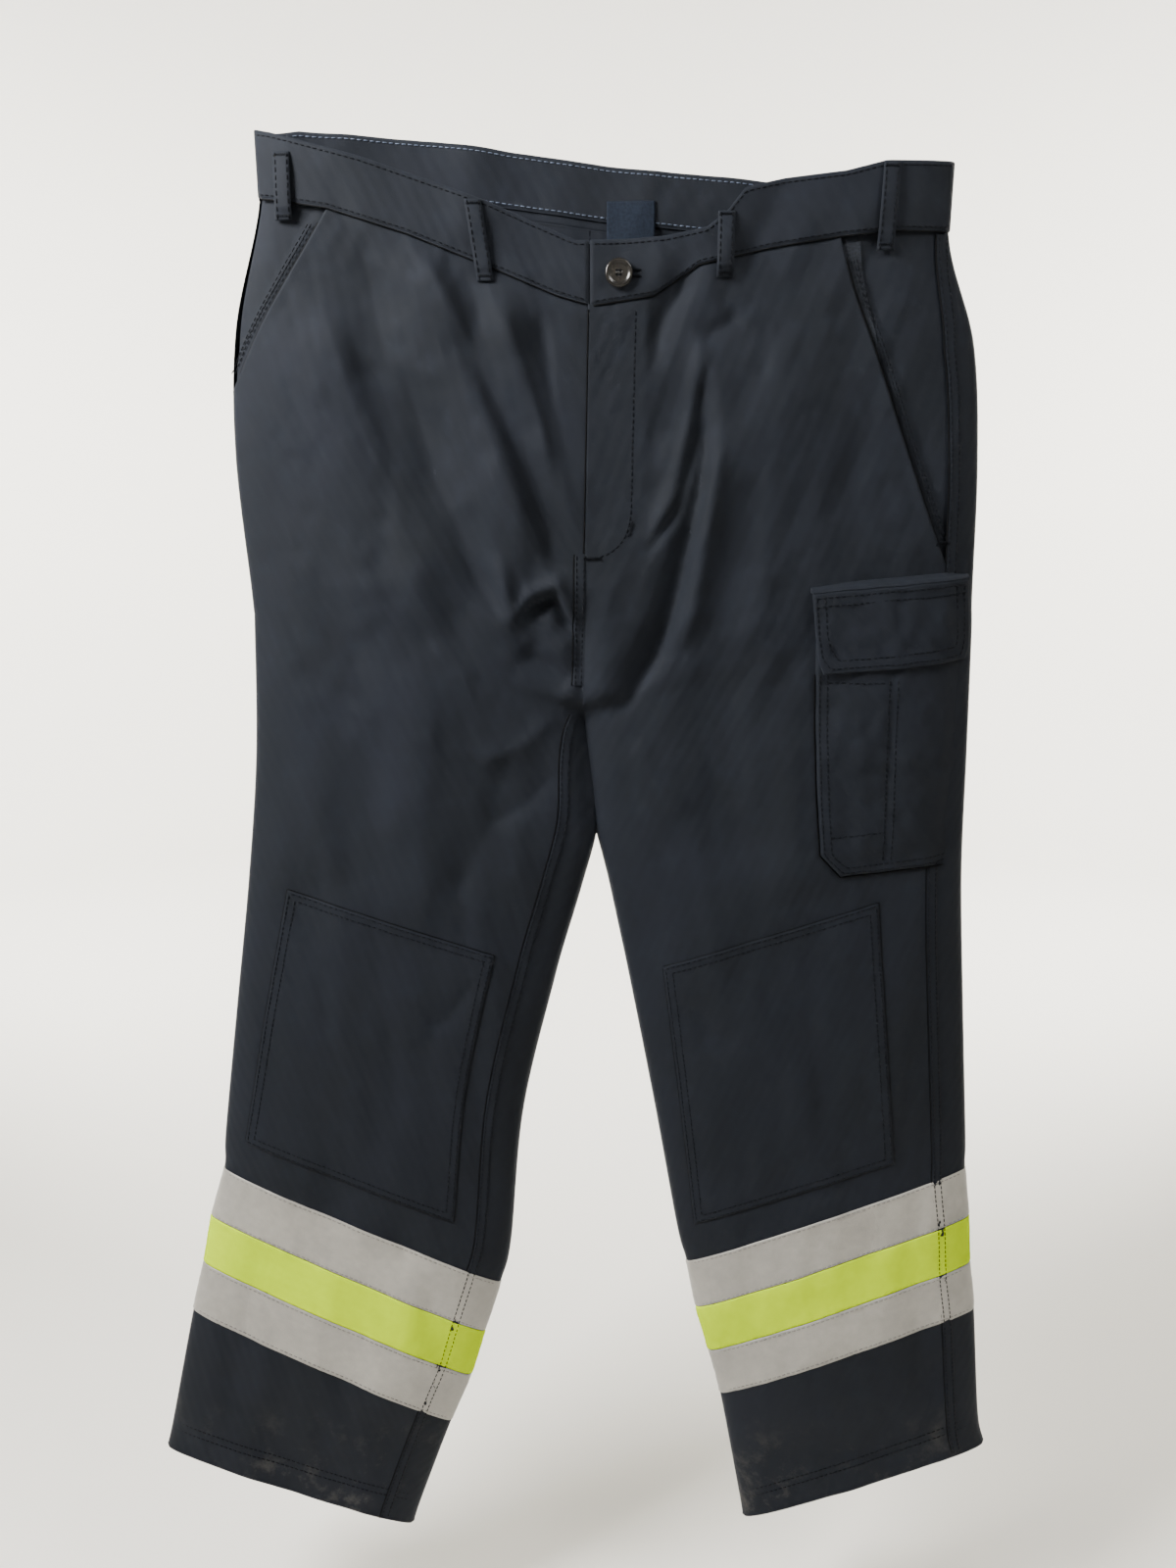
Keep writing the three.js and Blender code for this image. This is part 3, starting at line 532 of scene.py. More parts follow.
def twill(name, dust=0.0):
    """Cotton-aramid twill, piece-dyed: matt, with fine diagonal ribs and paler worn places."""
    m, tree = start(name)
    if tree is None:
        return m
    place = object_space(tree)
    turned = node(
        tree, "ShaderNodeMapping", {"Rotation": (0, 0, math.radians(33))},
        {"Vector": cloth_space(tree)},
    ).outputs["Vector"]
    # Real ribs lie 0.6 mm apart, too fine to show, so they are drawn 1.5 mm apart.
    ribs = waves(
        tree, turned, 1.5, {"Distortion": 0.6, "Detail": 1.0, "Detail Scale": 2.0}
    )
    broad = noise_at(tree, place, 9.0, 5.0, 0.6)
    tone = ramp(tree, broad, [(0.3, linear("#0D1015")), (0.72, linear("#10131A"))])
    wear = ramp(tree, noise_at(tree, place, 70.0, 6.0, 0.7), [(0.5, 0.0), (0.78, 1.0)])
    tone = tinted(tree, tone, "#161B23", times(tree, wear, 0.35))
    if dust:
        # Pale dust rubbed into the cloth near the hem, over its lowest 170 mm.
        height = node(tree, "ShaderNodeSeparateXYZ", links={"Vector": place}).outputs["Z"]
        low = node(
            tree, "ShaderNodeMapRange", {"From Min": -1.02, "From Max": -1.19},
            {"Value": height},
        ).outputs["Result"]
        low = ramp(tree, low, [(0.0, 0.0), (1.0, 1.0)])
        marks = ramp(tree, noise_at(tree, place, 26.0, 8.0, 0.75), [(0.52, 0.0), (0.7, 1.0)])
        tone = tinted(tree, tone, "#6E6A63", times(tree, times(tree, low, marks), dust))
    tone = darkened(tree, tone, ramp(tree, ribs, [(0.0, 0.45), (0.8, 1.0)]), 0.08)
    height = node(
        tree, "ShaderNodeMath", {"operation": "MULTIPLY_ADD", 1: 0.5},
        {0: noise_at(tree, place, 900.0), 2: ribs},
    ).outputs[0]
    finish(
        tree, tone,
        {"Roughness": 0.8, "Specular IOR Level": 0.1, "Sheen Weight": 0.02,
         "Sheen Roughness": 0.5, "Sheen Tint": linear("#B4BDD0")},
        height, 0.28, 0.0004,
    )
    return m


def navy():
    """The cloth of the waistband, pockets, patches and loops."""
    return twill("Navy cotton-aramid twill")


def navy_hem():
    """The same cloth on the legs, with pale dust near the hem."""
    return twill("Navy twill, dusty at the hem", dust=0.3)


def reflective():
    """Glass-bead reflective tape: warm grey, softly metallic, faintly creased."""
    m, tree = start("Glass-bead reflective tape")
    if tree is None:
        return m
    place = object_space(tree)
    # Beads of 0.1 mm are drawn about ten times wider.
    beads = node(
        tree, "ShaderNodeTexVoronoi", {"Scale": 900.0}, {"Vector": place}
    ).outputs["Distance"]
    broad = noise_at(tree, place, 14.0, 6.0, 0.65)
    tone = ramp(tree, broad, [(0.3, linear("#7A7874")), (0.7, linear("#8A8883"))])
    fine = ramp(tree, noise_at(tree, cloth_space(tree), 120.0, 4.0), [(0.3, 0.6), (0.7, 1.0)])
    finish(
        tree, darkened(tree, tone, fine, 0.25),
        {"Roughness": 0.52, "Metallic": 0.25, "Specular IOR Level": 0.4}, beads, 0.25, 0.0003,
    )
    return m


def fluorescent():
    """Fluorescent polyester tape, plain woven: it looks brighter than plain paint would."""
    m, tree = start("Fluorescent yellow woven tape")
    if tree is None:
        return m
    uv = cloth_space(tree)
    # Yarns 0.5 mm apart are drawn 1.4 mm apart, so that the weave shows.
    weave = times(
        tree, waves(tree, uv, 1.4, {"bands_direction": "X"}),
        waves(tree, uv, 1.4, {"bands_direction": "Y"}),
    )
    broad = noise_at(tree, object_space(tree), 16.0, 6.0, 0.7)
    tone = ramp(tree, broad, [(0.3, linear("#93AC00")), (0.65, linear("#A2BC00"))])
    finish(tree, tone, {"Roughness": 0.9, "Specular IOR Level": 0.0}, weave, 0.3, 0.0004)
    return m


def plain(name, dark, light, settings, scale=60.0, strength=0.2, reach=0.0003, detail=5.0,
          stops=(0.35, 0.65)):
    """A close-grained surface with a slight change of tone and a fine bump."""
    m, tree = start(name)
    if tree is None:
        return m
    grain = noise_at(tree, object_space(tree), scale, detail)
    tone = ramp(tree, grain, [(stops[0], linear(dark)), (stops[1], linear(light))])
    finish(tree, tone, settings, grain, strength, reach)
    return m


def thread(name="Black polyester sewing thread", dark="#050609", light="#0A0C11"):
    """Twisted polyester thread: matt, so that a row of stitches reads as one fine line. It also
    makes the near-black cords of painted shade in the joins.
    """
    return plain(
        name, dark, light, {"Roughness": 0.7, "Specular IOR Level": 0.06}, 400.0, 0.3, 0.0003,
        2.0, (0.35, 0.7),
    )


def resin():
    """Polished polyester resin button: a hard gloss over brown-black."""
    return plain(
        "Polished resin button", "#0E0D0C", "#191715",
        {"Roughness": 0.24, "Specular IOR Level": 0.28}, 130.0, 0.05, 0.0002,
    )


def zip_metal():
    """Antique-nickel zinc casting: a dark, dull metal."""
    return plain(
        "Antique nickel zinc casting", "#5A564C", "#77726A", {"Roughness": 0.38, "Metallic": 1.0},
        250.0, 0.15, 0.0002,
    )


def zip_plastic():
    """Nylon coil teeth, nearly black."""
    return plain("Nylon zip coil", "#101114", "#1C1E24", {"Roughness": 0.45}, 300.0, 0.2, 0.0002)


def zip_tape():
    """Woven polyester zip tape: matt, fine ribs."""
    return plain(
        "Woven zip tape", "#15181F", "#222733", {"Roughness": 0.9, "Specular IOR Level": 0.1},
        700.0, 0.5, 0.0004,
    )


def lining():
    """Plain-woven pocketing: thin, matt and darker than the face cloth."""
    return plain(
        "Dark cotton pocketing", "#14161A", "#1F2228",
        {"Roughness": 0.95, "Specular IOR Level": 0.1}, 800.0, 0.4, 0.0004,
    )


def label():
    """Blank woven label tape: matt, close to the cloth's own colour."""
    return plain(
        "Black woven label tape", "#10141B", "#161B24",
        {"Roughness": 0.9, "Specular IOR Level": 0.05}, 600.0, 0.3, 0.0003,
    )


def grip_tape():
    """Hook-and-loop tape: a rough black nap."""
    return plain(
        "Black hook-and-loop tape", "#0B0C0E", "#1D1F23",
        {"Roughness": 0.97, "Specular IOR Level": 0.08}, 1100.0, 1.0, 0.0012, 2.0,
    )


# ---------------------------------------------------------------------------
# Mesh making. Points are in millimetres until here.
# ---------------------------------------------------------------------------
def make(name, points, faces, material, uv=None):
    """A mesh object from points in millimetres."""
    mesh = bpy.data.meshes.new(name)
    points = np.asarray(points, float) / 1000
    mesh.from_pydata(points.tolist(), [], faces.tolist() if hasattr(faces, "tolist") else faces)
    if uv is not None:
        layer = mesh.uv_layers.new(name="cloth")
        index = np.zeros(len(mesh.loops), np.int32)
        mesh.loops.foreach_get("vertex_index", index)
        layer.data.foreach_set("uv", np.asarray(uv, np.float32)[index].ravel())
    mesh.materials.append(material)
    mesh.polygons.foreach_set("use_smooth", [True] * len(mesh.polygons))
    mesh.validate()
    mesh.update()
    o = bpy.data.objects.new(name, mesh)
    bpy.context.scene.collection.objects.link(o)
    return o


def grid_faces(rows, cols, ring=False, offset=0):
    """The faces of a grid of points; a ring closes from the last column to the first."""
    i = np.arange(rows - 1)[:, None] * cols
    j = np.arange(cols if ring else cols - 1)[None, :]
    k = (j + 1) % cols
    return (np.stack([i + j, i + cols + j, i + cols + k, i + k], -1).reshape(-1, 4)) + offset


def arc_uv(p):
    """Cloth coordinates in metres along a grid's columns and rows."""
    across = np.linalg.norm(np.diff(p, axis=1, prepend=p[:, :1]), axis=-1)
    down = np.linalg.norm(np.diff(p, axis=0, prepend=p[:1]), axis=-1)
    mid = p.shape[1] // 2
    u = np.cumsum(across, axis=1)
    v = np.repeat(np.cumsum(down[:, mid])[:, None], p.shape[1], axis=1)
    return np.stack([u - u[:, mid : mid + 1], v], -1) / 1000


def sheet_mesh(name, p, material, ring=False, flip=False):
    rows, cols = p.shape[:2]
    f = grid_faces(rows, cols, ring)
    if flip:
        f = f[:, ::-1]
    return make(name, p.reshape(-1, 3), f, material, arc_uv(p).reshape(-1, 2))


def slab_mesh(name, top, bottom, material, flip=False):
    """A closed thin piece between two like grids."""
    rows, cols = top.shape[:2]
    n = rows * cols
    f = [grid_faces(rows, cols), grid_faces(rows, cols)[:, ::-1] + n]
    rim = np.r_[
        np.arange(cols), np.arange(1, rows) * cols + cols - 1,
        (rows - 1) * cols + np.arange(cols - 2, -1, -1), np.arange(rows - 2, 0, -1) * cols,
    ]
    after = np.roll(rim, -1)
    f.append(np.stack([rim, after, after + n, rim + n], -1))
    f = np.concatenate(f)
    if flip:
        f = f[:, ::-1]
    p = np.concatenate([top.reshape(-1, 3), bottom.reshape(-1, 3)])
    uv = np.concatenate([arc_uv(top).reshape(-1, 2), arc_uv(bottom).reshape(-1, 2)])
    return make(name, p, f, material, uv)


def edge_distance(p):
    """Distance of each grid point from the nearest edge of its grid, in millimetres."""
    across = np.cumsum(np.linalg.norm(np.diff(p, axis=1, prepend=p[:, :1]), axis=-1), axis=1)
    down = np.cumsum(np.linalg.norm(np.diff(p, axis=0, prepend=p[:1]), axis=-1), axis=0)
    return np.minimum.reduce([across, across[:, -1:] - across, down, down[-1:] - down])


def coons(top, bottom, left, right, step=4.0):
    """A grid of (x, z) filled in between four lines; left and right run downwards."""
    lines = [np.array(q, float) for q in (top, bottom, left, right)]

    def even(q, t):
        s = np.r_[0, np.cumsum(np.hypot(*np.diff(q, axis=0).T))]
        return np.stack([np.interp(t * s[-1], s, q[:, k]) for k in (0, 1)], -1)

    def size(q):
        return np.hypot(*np.diff(q, axis=0).T).sum()

    def spaced(length):
        inner = np.linspace(0, 1, max(3, int(length / step)))
        e = np.array([0.4, 1.1, 2.4]) / length
        return np.unique(np.r_[inner, e, 1 - e])

    s = spaced(max(size(lines[0]), size(lines[1])))
    t = spaced(max(size(lines[2]), size(lines[3])))
    a, b = even(lines[0], s), even(lines[1], s)
    c, d = even(lines[2], t), even(lines[3], t)
    S, T = s[None, :, None], t[:, None, None]
    g = (1 - T) * a[None] + T * b[None] + (1 - S) * c[:, None] + S * d[:, None]
    g -= (1 - S) * (1 - T) * a[0] + S * (1 - T) * a[-1] + (1 - S) * T * b[0] + S * T * b[-1]
    return g


def slab(name, leg, g, side, low, high, material, round_mm=1.4, warp=None):
    """A flat piece lying over the cloth: its face is rounded off at the edges."""
    flat = np.stack([g[..., 0], np.zeros(g.shape[:2]), g[..., 1]], -1)
    e = edge_distance(flat)
    t = np.clip(e / round_mm, 0, 1)
    out = low + (high - low) * (0.35 + 0.65 * np.sqrt(1 - (1 - t) ** 2))
    if warp is not None:
        out = out + warp(g[..., 0], g[..., 1], e)
    top = leg.over(g[..., 0], g[..., 1], side, CLOTH + out)
    bottom = leg.over(g[..., 0], g[..., 1], side, CLOTH + low + 0 * out)
    return slab_mesh(name, top, bottom, material, flip=side > 0)


# ---------------------------------------------------------------------------
# Stitching and painted seam shade. The pieces ask for their lines of thread here, and for
# near-black cords that paint the shade in the joins between layers, each under the name of what
# they ride on; the last operator makes them all.
# ---------------------------------------------------------------------------
RUNS, TACKS, PAINTED_SHADE_LINES = {}, {}, {}  # rows of stitches, bar tacks, near-black cords of painted shade in the joins between layers


def stitch_mesh(name, runs, material, length=3.4, pitch=4.6, radius=0.42):
    """Real stitches of 2.5 mm, drawn longer and thicker so that they show.
    Each run is a line of points with the cloth's normals at them."""
    verts, faces, count = [], [], 0
    sections = [(-0.5, 0.35, -0.35), (-0.34, 1.0, 0.2), (0.34, 1.0, 0.2), (0.5, 0.35, -0.35)]
    angle = np.linspace(0, 2 * np.pi, 6)[:-1]
    for points, normals in runs:
        s = np.r_[0, np.cumsum(np.linalg.norm(np.diff(points, axis=0), axis=-1))]
        n = int(s[-1] / pitch)
        if n < 1:
            continue
        at = (np.arange(n) + 0.5) * s[-1] / n

        def sample(a, q):
            return np.stack([np.interp(a, s, q[:, k]) for k in range(3)], -1)

        a, b = sample(at - length / 2, points), sample(at + length / 2, points)
        up = sample(at, normals)
        mid, along = (a + b) / 2, b - a
        size = np.linalg.norm(along, axis=-1, keepdims=True)
        keep = size[:, 0] > length * 0.4
        mid, along, up, size = mid[keep], along[keep], up[keep], size[keep]
        along = along / size
        side = np.cross(along, up)
        side /= np.linalg.norm(side, axis=-1, keepdims=True)
        up = np.cross(side, along)
        rings = []
        for t, r, h in sections:
            c = mid + along * size * t + up * (h * radius)
            rings.append(
                c[:, None] + radius * r * (
                    np.cos(angle)[None, :, None] * side[:, None]
                    + np.sin(angle)[None, :, None] * up[:, None]
                )
            )
        block = np.stack(rings, 1)
        m = len(block)
        base = count + np.arange(m)[:, None, None, None] * 20
        i = np.arange(3)[None, :, None, None] * 5
        j = np.arange(5)[None, None, :, None]
        k = (j + 1) % 5
        quad = np.concatenate([base + i + j, base + i + k, base + i + 5 + k, base + i + 5 + j], -1)
        verts.append(block.reshape(-1, 3))
        faces.append(quad.reshape(-1, 4))
        count += m * 20
    return make(name, np.concatenate(verts), np.concatenate(faces), material)


def walk(x, z, step=2.5):
    """The points of a line, even steps apart."""
    x, z = np.asarray(x, float), np.asarray(z, float)
    s = np.r_[0, np.cumsum(np.hypot(np.diff(x), np.diff(z)))]
    t = np.linspace(0, s[-1], max(2, int(s[-1] / step)))
    return np.interp(t, s, x), np.interp(t, s, z)


def stitch(rider, leg, x, z, side=-1, out=0.15):
    """Adds a run of stitches along (x, z) to the thread piece of one rider."""
    p, n = leg.skin(*walk(x, z), side)
    RUNS.setdefault(rider, []).append((p + n * out, n))


def bar_tack(rider, leg, x, z, dx, dz, side=-1, out=0.4, width=2.2):
    """A dense zigzag of thread from one point to another."""
    n = 15
    t = np.linspace(0, 1, n)
    length = math.hypot(dx, dz)
    nx, nz = -dz / length, dx / length
    zig = np.where(np.arange(n) % 2, 0.5, -0.5) * width
    xs, zs = x + dx * t + nx * zig, z + dz * t + nz * zig
    p, nrm = leg.skin(xs, zs, side)
    TACKS.setdefault(rider, []).append(p + nrm * out)


def painted_shade_line(rider, leg, x, z, side=-1, out=0.35, stiff=None):
    """A near-black cord of painted shade along the deep join where one layer of cloth meets the
    next.
    """
    p = leg.over(*walk(x, z, 3), side, CLOTH + out, stiff=stiff)
    PAINTED_SHADE_LINES.setdefault(rider, []).append(p)


def shin(name):
    """The body that a leg's lower half rides on."""
    return name + "_shin"


def bend_at_knee(o):
    """Bakes a piece's transform into its mesh."""
    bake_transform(o)


def grid_area(p):
    """Area of a grid of points in square metres."""
    d1, d2 = p[1:, 1:] - p[:-1, :-1], p[1:, :-1] - p[:-1, 1:]
    return float(np.linalg.norm(np.cross(d1, d2), axis=-1).sum() / 2) / 1e6


def settle(o, rider, *replaced, slot="navy_twill"):
    """Ties a piece to its body and to the CAD nodes that it stands for, which it hides; its slot is
    not used.
    """
    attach(o, rider)
    if replaced:
        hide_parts(*replaced)


def declare(p):
    """Works out the flat size that a sheet's grid was cut to; nothing is done with it."""
    down = np.linalg.norm(np.diff(p, axis=0), axis=-1).sum(0).max() / 1000
    across = np.linalg.norm(np.diff(p, axis=1), axis=-1).sum(1).max() / 1000
    area = min(grid_area(p), down * across)
    area = max(area, 0.31 * down * across)


# ---------------------------------------------------------------------------
# Pieces
# ---------------------------------------------------------------------------
def spaced(n, edge=0.45):
    """n numbers from 0 to 1, closer together near both ends."""
    t = np.linspace(0, 1, n)
    return (1 - edge) * t + edge * (1 - np.cos(np.pi * t)) / 2


def rows(leg, v0, v1, step=4.0):
    """Stations from v0 to v1 that lie step millimetres apart down the leg."""
    v = np.linspace(v0, v1, 600)
    o, i = leg.row(v)
    mid = (o + i) / 2
    s = np.r_[0, np.cumsum(np.hypot(*np.diff(mid, axis=0).T))]
    return np.interp(np.linspace(0, s[-1], int(s[-1] / step)), s, v)


def under_band(leg, u, v, side):
    """Bends a panel's upper rows so that its top edge runs just above the waistband's seam."""
    low, high = np.full(u.shape, 0.1), np.full(u.shape, 2.0)
    for _ in range(24):
        w = (low + high) / 2
        p = leg.flat(u, w)
        seam = (
            line_at(WAIST_SEAM, p[..., 0])
            if side < 0
            else line_at(BAND_TOP_BACK, p[..., 0]) - BAND_HEIGHT
        )
        above = p[..., 1] > seam + 7
        low, high = np.where(above, w, low), np.where(above, high, w)
    return v + (w - v.min()) * (1 - smooth(v, v.min(), 3.0))


def front_panel(name, step):
    """One front, from the waistband's seam to the hem and from its pocket's mouth to its seam."""
    leg = LEGS[name]
    v = rows(leg, 0.93, HEM, step)[:, None]
    t = spaced(int(280 / step))[None, :]
    plain_v = v = v + 0 * t
    for _ in range(3):
        mouth = mouth_u(name, v)
        if name == "right":
            u0, u1 = mouth, seam_u(name, v)
        else:
            u0, u1 = np.maximum(seam_u(name, v), mouth), np.ones(v.shape)
        u = u0 + (u1 - u0) * t
        v = under_band(leg, u, plain_v, -1)
    p = leg.at(u, v, -1)
    # The cloth is drawn in along the waistband's seam.
    drop = line_at(WAIST_SEAM, p[..., 0]) - p[..., 2]
    p[..., 1] += 1.3 * np.exp(-((drop / 4) ** 2)) + 1.2 * smooth(-drop, 0, 5)
    if name == "left":
        # The fly's edge is folded and lies on top of the other side's front.
        over = (p[..., 2] < -80) * smooth(p[..., 2], -278, -262)
        from_edge = p[..., 0] + 5 + (p[..., 2] + 89) * -0.02
        p[..., 1] -= over * (0.7 * np.exp(-((from_edge / 7) ** 2)) + 0.2)
    # The pocket's mouth is turned under and stands a little away from the facing.
    near = np.exp(-((((u - u0) * leg.length(v)) / 5) ** 2)) * smooth(mouth - u0 + 0.001, 0, 0.001)
    p[..., 1] -= near * 0.5 * (mouth > 0.03)
    under = p[:, :1] + np.array([0, 0.8, 0])
    back = under + (p[:, 2:3] - p[:, :1]) * 1.2 + np.array([0, 0.4, 0])
    p = np.concatenate([back, under, p], axis=1)
    if name == "left":
        rim = p[:, -1:] + [0.3, 0.6, 0]
        p = np.concatenate([p, rim, rim + (p[:, -3:-2] - p[:, -1:]) + [0, 0.4, 0]], axis=1)
    o = sheet_mesh("front_panel_" + name, p, navy_hem())
    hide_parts("front_upper_" + name, "front_lower_" + name)
    return o, p


def back_panel(name, step):
    """One back, which wraps round to the front as far as the seam that shows there."""
    leg = LEGS[name]
    v = rows(leg, 0.93, HEM, step)[:, None]
    t = spaced(int(280 / step))[None, :]
    n = 12
    w = np.linspace(0, 1, n + 1)[None, 1:]
    if name == "right":
        u = np.concatenate([t + 0 * v, 1 - w * (1 - seam_u(name, v))], axis=1)
        side = np.concatenate([np.ones(t.shape), -np.ones(w.shape)], axis=1) + 0 * v
        wrap = np.zeros(u.shape, bool)
        wrap[:, t.shape[1] :] = (v < FORK + 0.02)
        u, side = np.where(wrap, 1.0, u), np.where(wrap, 1.0, side)
    else:
        u = np.concatenate([1 - t + 0 * v, w * seam_u(name, v)], axis=1)
        side = np.concatenate([np.ones(t.shape), -np.ones(w.shape)], axis=1) + 0 * v
    v = under_band(leg, u, v + 0 * u, 1)
    p = leg.at(u, v, side)
    o = sheet_mesh("back_panel_" + name, p, navy_hem(), flip=name == "right")
    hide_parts("back_upper_" + name, "back_lower_" + name)
    return o, p


class PanelSettings(bpy.types.PropertyGroup):
    """How finely the main panels are made"""

    step: FloatProperty(
        name="Mesh step", description="Distance between the cloth's mesh points",
        default=0.0036, min=0.0025, max=0.012, unit="LENGTH",
    )


class TrimSettings(bpy.types.PropertyGroup):
    """How far the sewn-on pieces stand out"""

    patch: FloatProperty(
        name="Patch thickness", description="Height of a sewn-on layer over the cloth",
        default=0.0013, min=0.0005, max=0.004, unit="LENGTH",
    )
    pocket: FloatProperty(
        name="Cargo pocket height", description="How far the cargo pocket stands out",
        default=0.0072, min=0.003, max=0.012, unit="LENGTH",
    )


class StageSettings(bpy.types.PropertyGroup):
    """The backdrop and the camera"""

    floor: FloatVectorProperty(
        name="Floor colour", description="Linear colour of the floor and backdrop",
        subtype="COLOR", default=(0.79, 0.77, 0.72), min=0, max=1,
    )
    lens: FloatProperty(
        name="Lens", description="Focal length of the camera",
        default=26.0, min=10, max=200, unit="CAMERA",
    )


class TROUSERS_OT_stage(bpy.types.Operator):
    """Adds the camera, the floor with its curved backdrop, and the studio lights"""

    bl_idname = "trousers.stage"
    bl_label = "Stage"

    def execute(self, context):
        s = context.scene.trousers_stage
        data = bpy.data.cameras.new("camera")
        data.lens, data.sensor_width = s.lens, 36.0
        camera = bpy.data.objects.new("camera", data)
        camera.location = (-0.006, -0.9, -0.229)
        camera.rotation_euler = (math.radians(76), 0, 0)
        context.scene.collection.objects.link(camera)
        context.scene.camera = camera
        # A disc of floor below the hems that turns up into a wall all round.
        floor_z = -1.36
        profile = [(0.0, 0.0), (3.0, 0.0)]
        profile += [
            (3.0 + math.sin(a) * 0.8, 0.8 - math.cos(a) * 0.8)
            for a in np.linspace(0.1, math.pi / 2, 14)
        ]
        profile += [(3.8, 4.2)]
        turns = 96
        a = np.linspace(0, 2 * np.pi, turns + 1)[:-1]
        r = np.array(profile)
        p = np.stack(
            [r[:, :1] * np.cos(a), r[:, :1] * np.sin(a), r[:, 1:] + 0 * a + floor_z], -1
        ) * 1000
        m, tree = start("Matt painted backdrop")
        if tree is not None:
            cloudy = node(tree, "ShaderNodeTexNoise", {"Scale": 3.0, "Detail": 4.0}).outputs["Fac"]
            tones = [(*[float(x) * k for x in s.floor], 1.0) for k in (0.96, 1.0)]
            finish(tree, ramp(tree, cloudy, [(0.3, tones[0]), (0.7, tones[1])]),
                   {"Roughness": 0.95})
        o = make("floor", p[1:].reshape(-1, 3), grid_faces(len(profile) - 1, turns, True), m)
        disc = make("floor_middle", p[1], [list(range(turns))], m)
        # Each light: where it stands, what it faces, its size, power and colour.
        lights = [
            ("key", (-0.98, -0.6, 0.45), (-0.12, 0.0, -0.2), 0.5, 94, (1.0, 0.985, 0.96)),
            ("top", (0.66, -0.62, 0.62), (0.28, 0.0, -0.16), 0.4, 12, (1.0, 0.985, 0.96)),
            ("fill", (2.4, -2.0, 0.1), (0.0, 0.0, -0.6), 2.2, 5, (0.96, 0.98, 1.0)),
            ("low", (-0.6, -2.4, -0.9), (0.0, 0.0, -1.0), 1.4, 2, (1.0, 0.99, 0.97)),
            ("back_left", (-1.8, 1.3, 0.3), (-0.6, 3.8, 0.0), 1.8, 190, (1.0, 0.99, 0.965)),
            ("back_right", (1.8, 1.3, 0.3), (0.6, 3.8, 0.0), 1.8, 190, (1.0, 0.99, 0.965)),
            ("rear", (1.6, 2.0, 1.2), (0.0, 0.0, -0.5), 1.4, 40, (1.0, 0.99, 0.97)),
        ]
        for name, place, goal, size, power, colour in lights:
            light = bpy.data.lights.new(name, "AREA")
            light.size, light.energy, light.color = size, power, colour
            lamp = bpy.data.objects.new(name, light)
            lamp.location = place
            aim = Vector(goal) - Vector(place)
            lamp.rotation_euler = aim.to_track_quat("-Z", "Y").to_euler()
            lamp.visible_camera = False
            context.scene.collection.objects.link(lamp)
        world = context.scene.world or bpy.data.worlds.new("world")
        context.scene.world = world
        world.use_nodes = True
        background = world.node_tree.nodes.get("Background")
        background.inputs["Color"].default_value = (0.95, 0.96, 1.0, 1)
        background.inputs["Strength"].default_value = 0.12
        return {"FINISHED"}


class TROUSERS_OT_panels(bpy.types.Operator):
    """Makes the four main panels, each cut from waist to hem"""

    bl_idname = "trousers.panels"
    bl_label = "Main panels"

    def execute(self, context):
        step = context.scene.trousers_panels.step * 1000
        for name in LEGS:
            for maker in (front_panel, back_panel):
                o, p = maker(name, step)
                declare(p)
                bend_at_knee(o)
        return {"FINISHED"}


def felled_seam(name, leg, u, v, side, material, rider_name, half=4.6, height=0.9):
    """A flat-felled seam: a narrow raised band with two rows of stitches."""
    centre = leg.flat(u, v)
    across = np.array([-1, -0.82, -0.4, 0, 0.4, 0.82, 1])
    lift = np.array([0.05, 0.75, 1, 0.95, 1, 0.75, 0.05]) * height
    xs = centre[:, :1] + across * half
    zs = centre[:, 1:] + 0 * across
    points = leg.over(xs, zs, side, CLOTH + lift + 0 * xs)
    band = sheet_mesh(name, points, material, flip=side > 0)
    for k in (-1, 1):
        stitch(rider_name, leg, centre[:, 0] + k * half * 0.62, centre[:, 1], side, height + 0.1)
    # A near-black cord along the band's inner edge on the front paints the shade in the seam.
    inner_edge = half + 0.4 if centre[:, 0].mean() < 0 else -half - 0.4
    if side < 0:
        inner_edge = -inner_edge if leg.name == "right" else inner_edge
        painted_shade_line(rider_name, leg, centre[:, 0] + inner_edge, centre[:, 1], side)
    return band


class TROUSERS_OT_seams(bpy.types.Operator):
    """Adds the felled side seams, inseams and centre seams with their twin stitching"""

    bl_idname = "trousers.seams"
    bl_label = "Seams"

    def execute(self, context):
        for name, leg in LEGS.items():
            v0 = 1.02 if name == "left" else FORK + 0.9
            v = rows(leg, v0, HEM - 0.02, 5.0)
            band = felled_seam("front_seam_" + name, leg, seam_u(name, v), v, -1, navy_hem(),
                               "leg_" + name)
            bend_at_knee(band)
        leg = LEGS["right"]
        for face, side, v0 in (("front", -1, 3.0), ("back", 1, 0.7)):
            v = rows(leg, v0, FORK, 5.0)
            band = felled_seam("centre_seam_" + face, leg, 1 - leg.mm(v, 4.0), v, side, navy(),
                               "trousers")
            settle(band, "trousers")
        return {"FINISHED"}


def band_grid(x, top, bottom, n=14):
    """A grid of (x, z) between two lines, with closer rows near both."""
    t = np.linspace(0, 1, n)
    t = np.unique(np.r_[t, 0.02, 0.05, 0.95, 0.98])[:, None]
    return np.stack([x[None, :] + 0 * t, top[None, :] * (1 - t) + bottom[None, :] * t], -1)


def waist_y(x):
    """Half the waistband's depth at x."""
    out = np.where(x < FLY_X, *WAIST)
    u = (x - out) / (FLY_X - out)
    far = np.minimum(np.abs(1 - 2 * np.clip(u, 0, 1)) ** EDGE_POWER, 1)
    return WAIST_HALF_DEPTH * (1 - np.where(u < 0.5, far, 0.0)) ** (1 / EDGE_POWER)


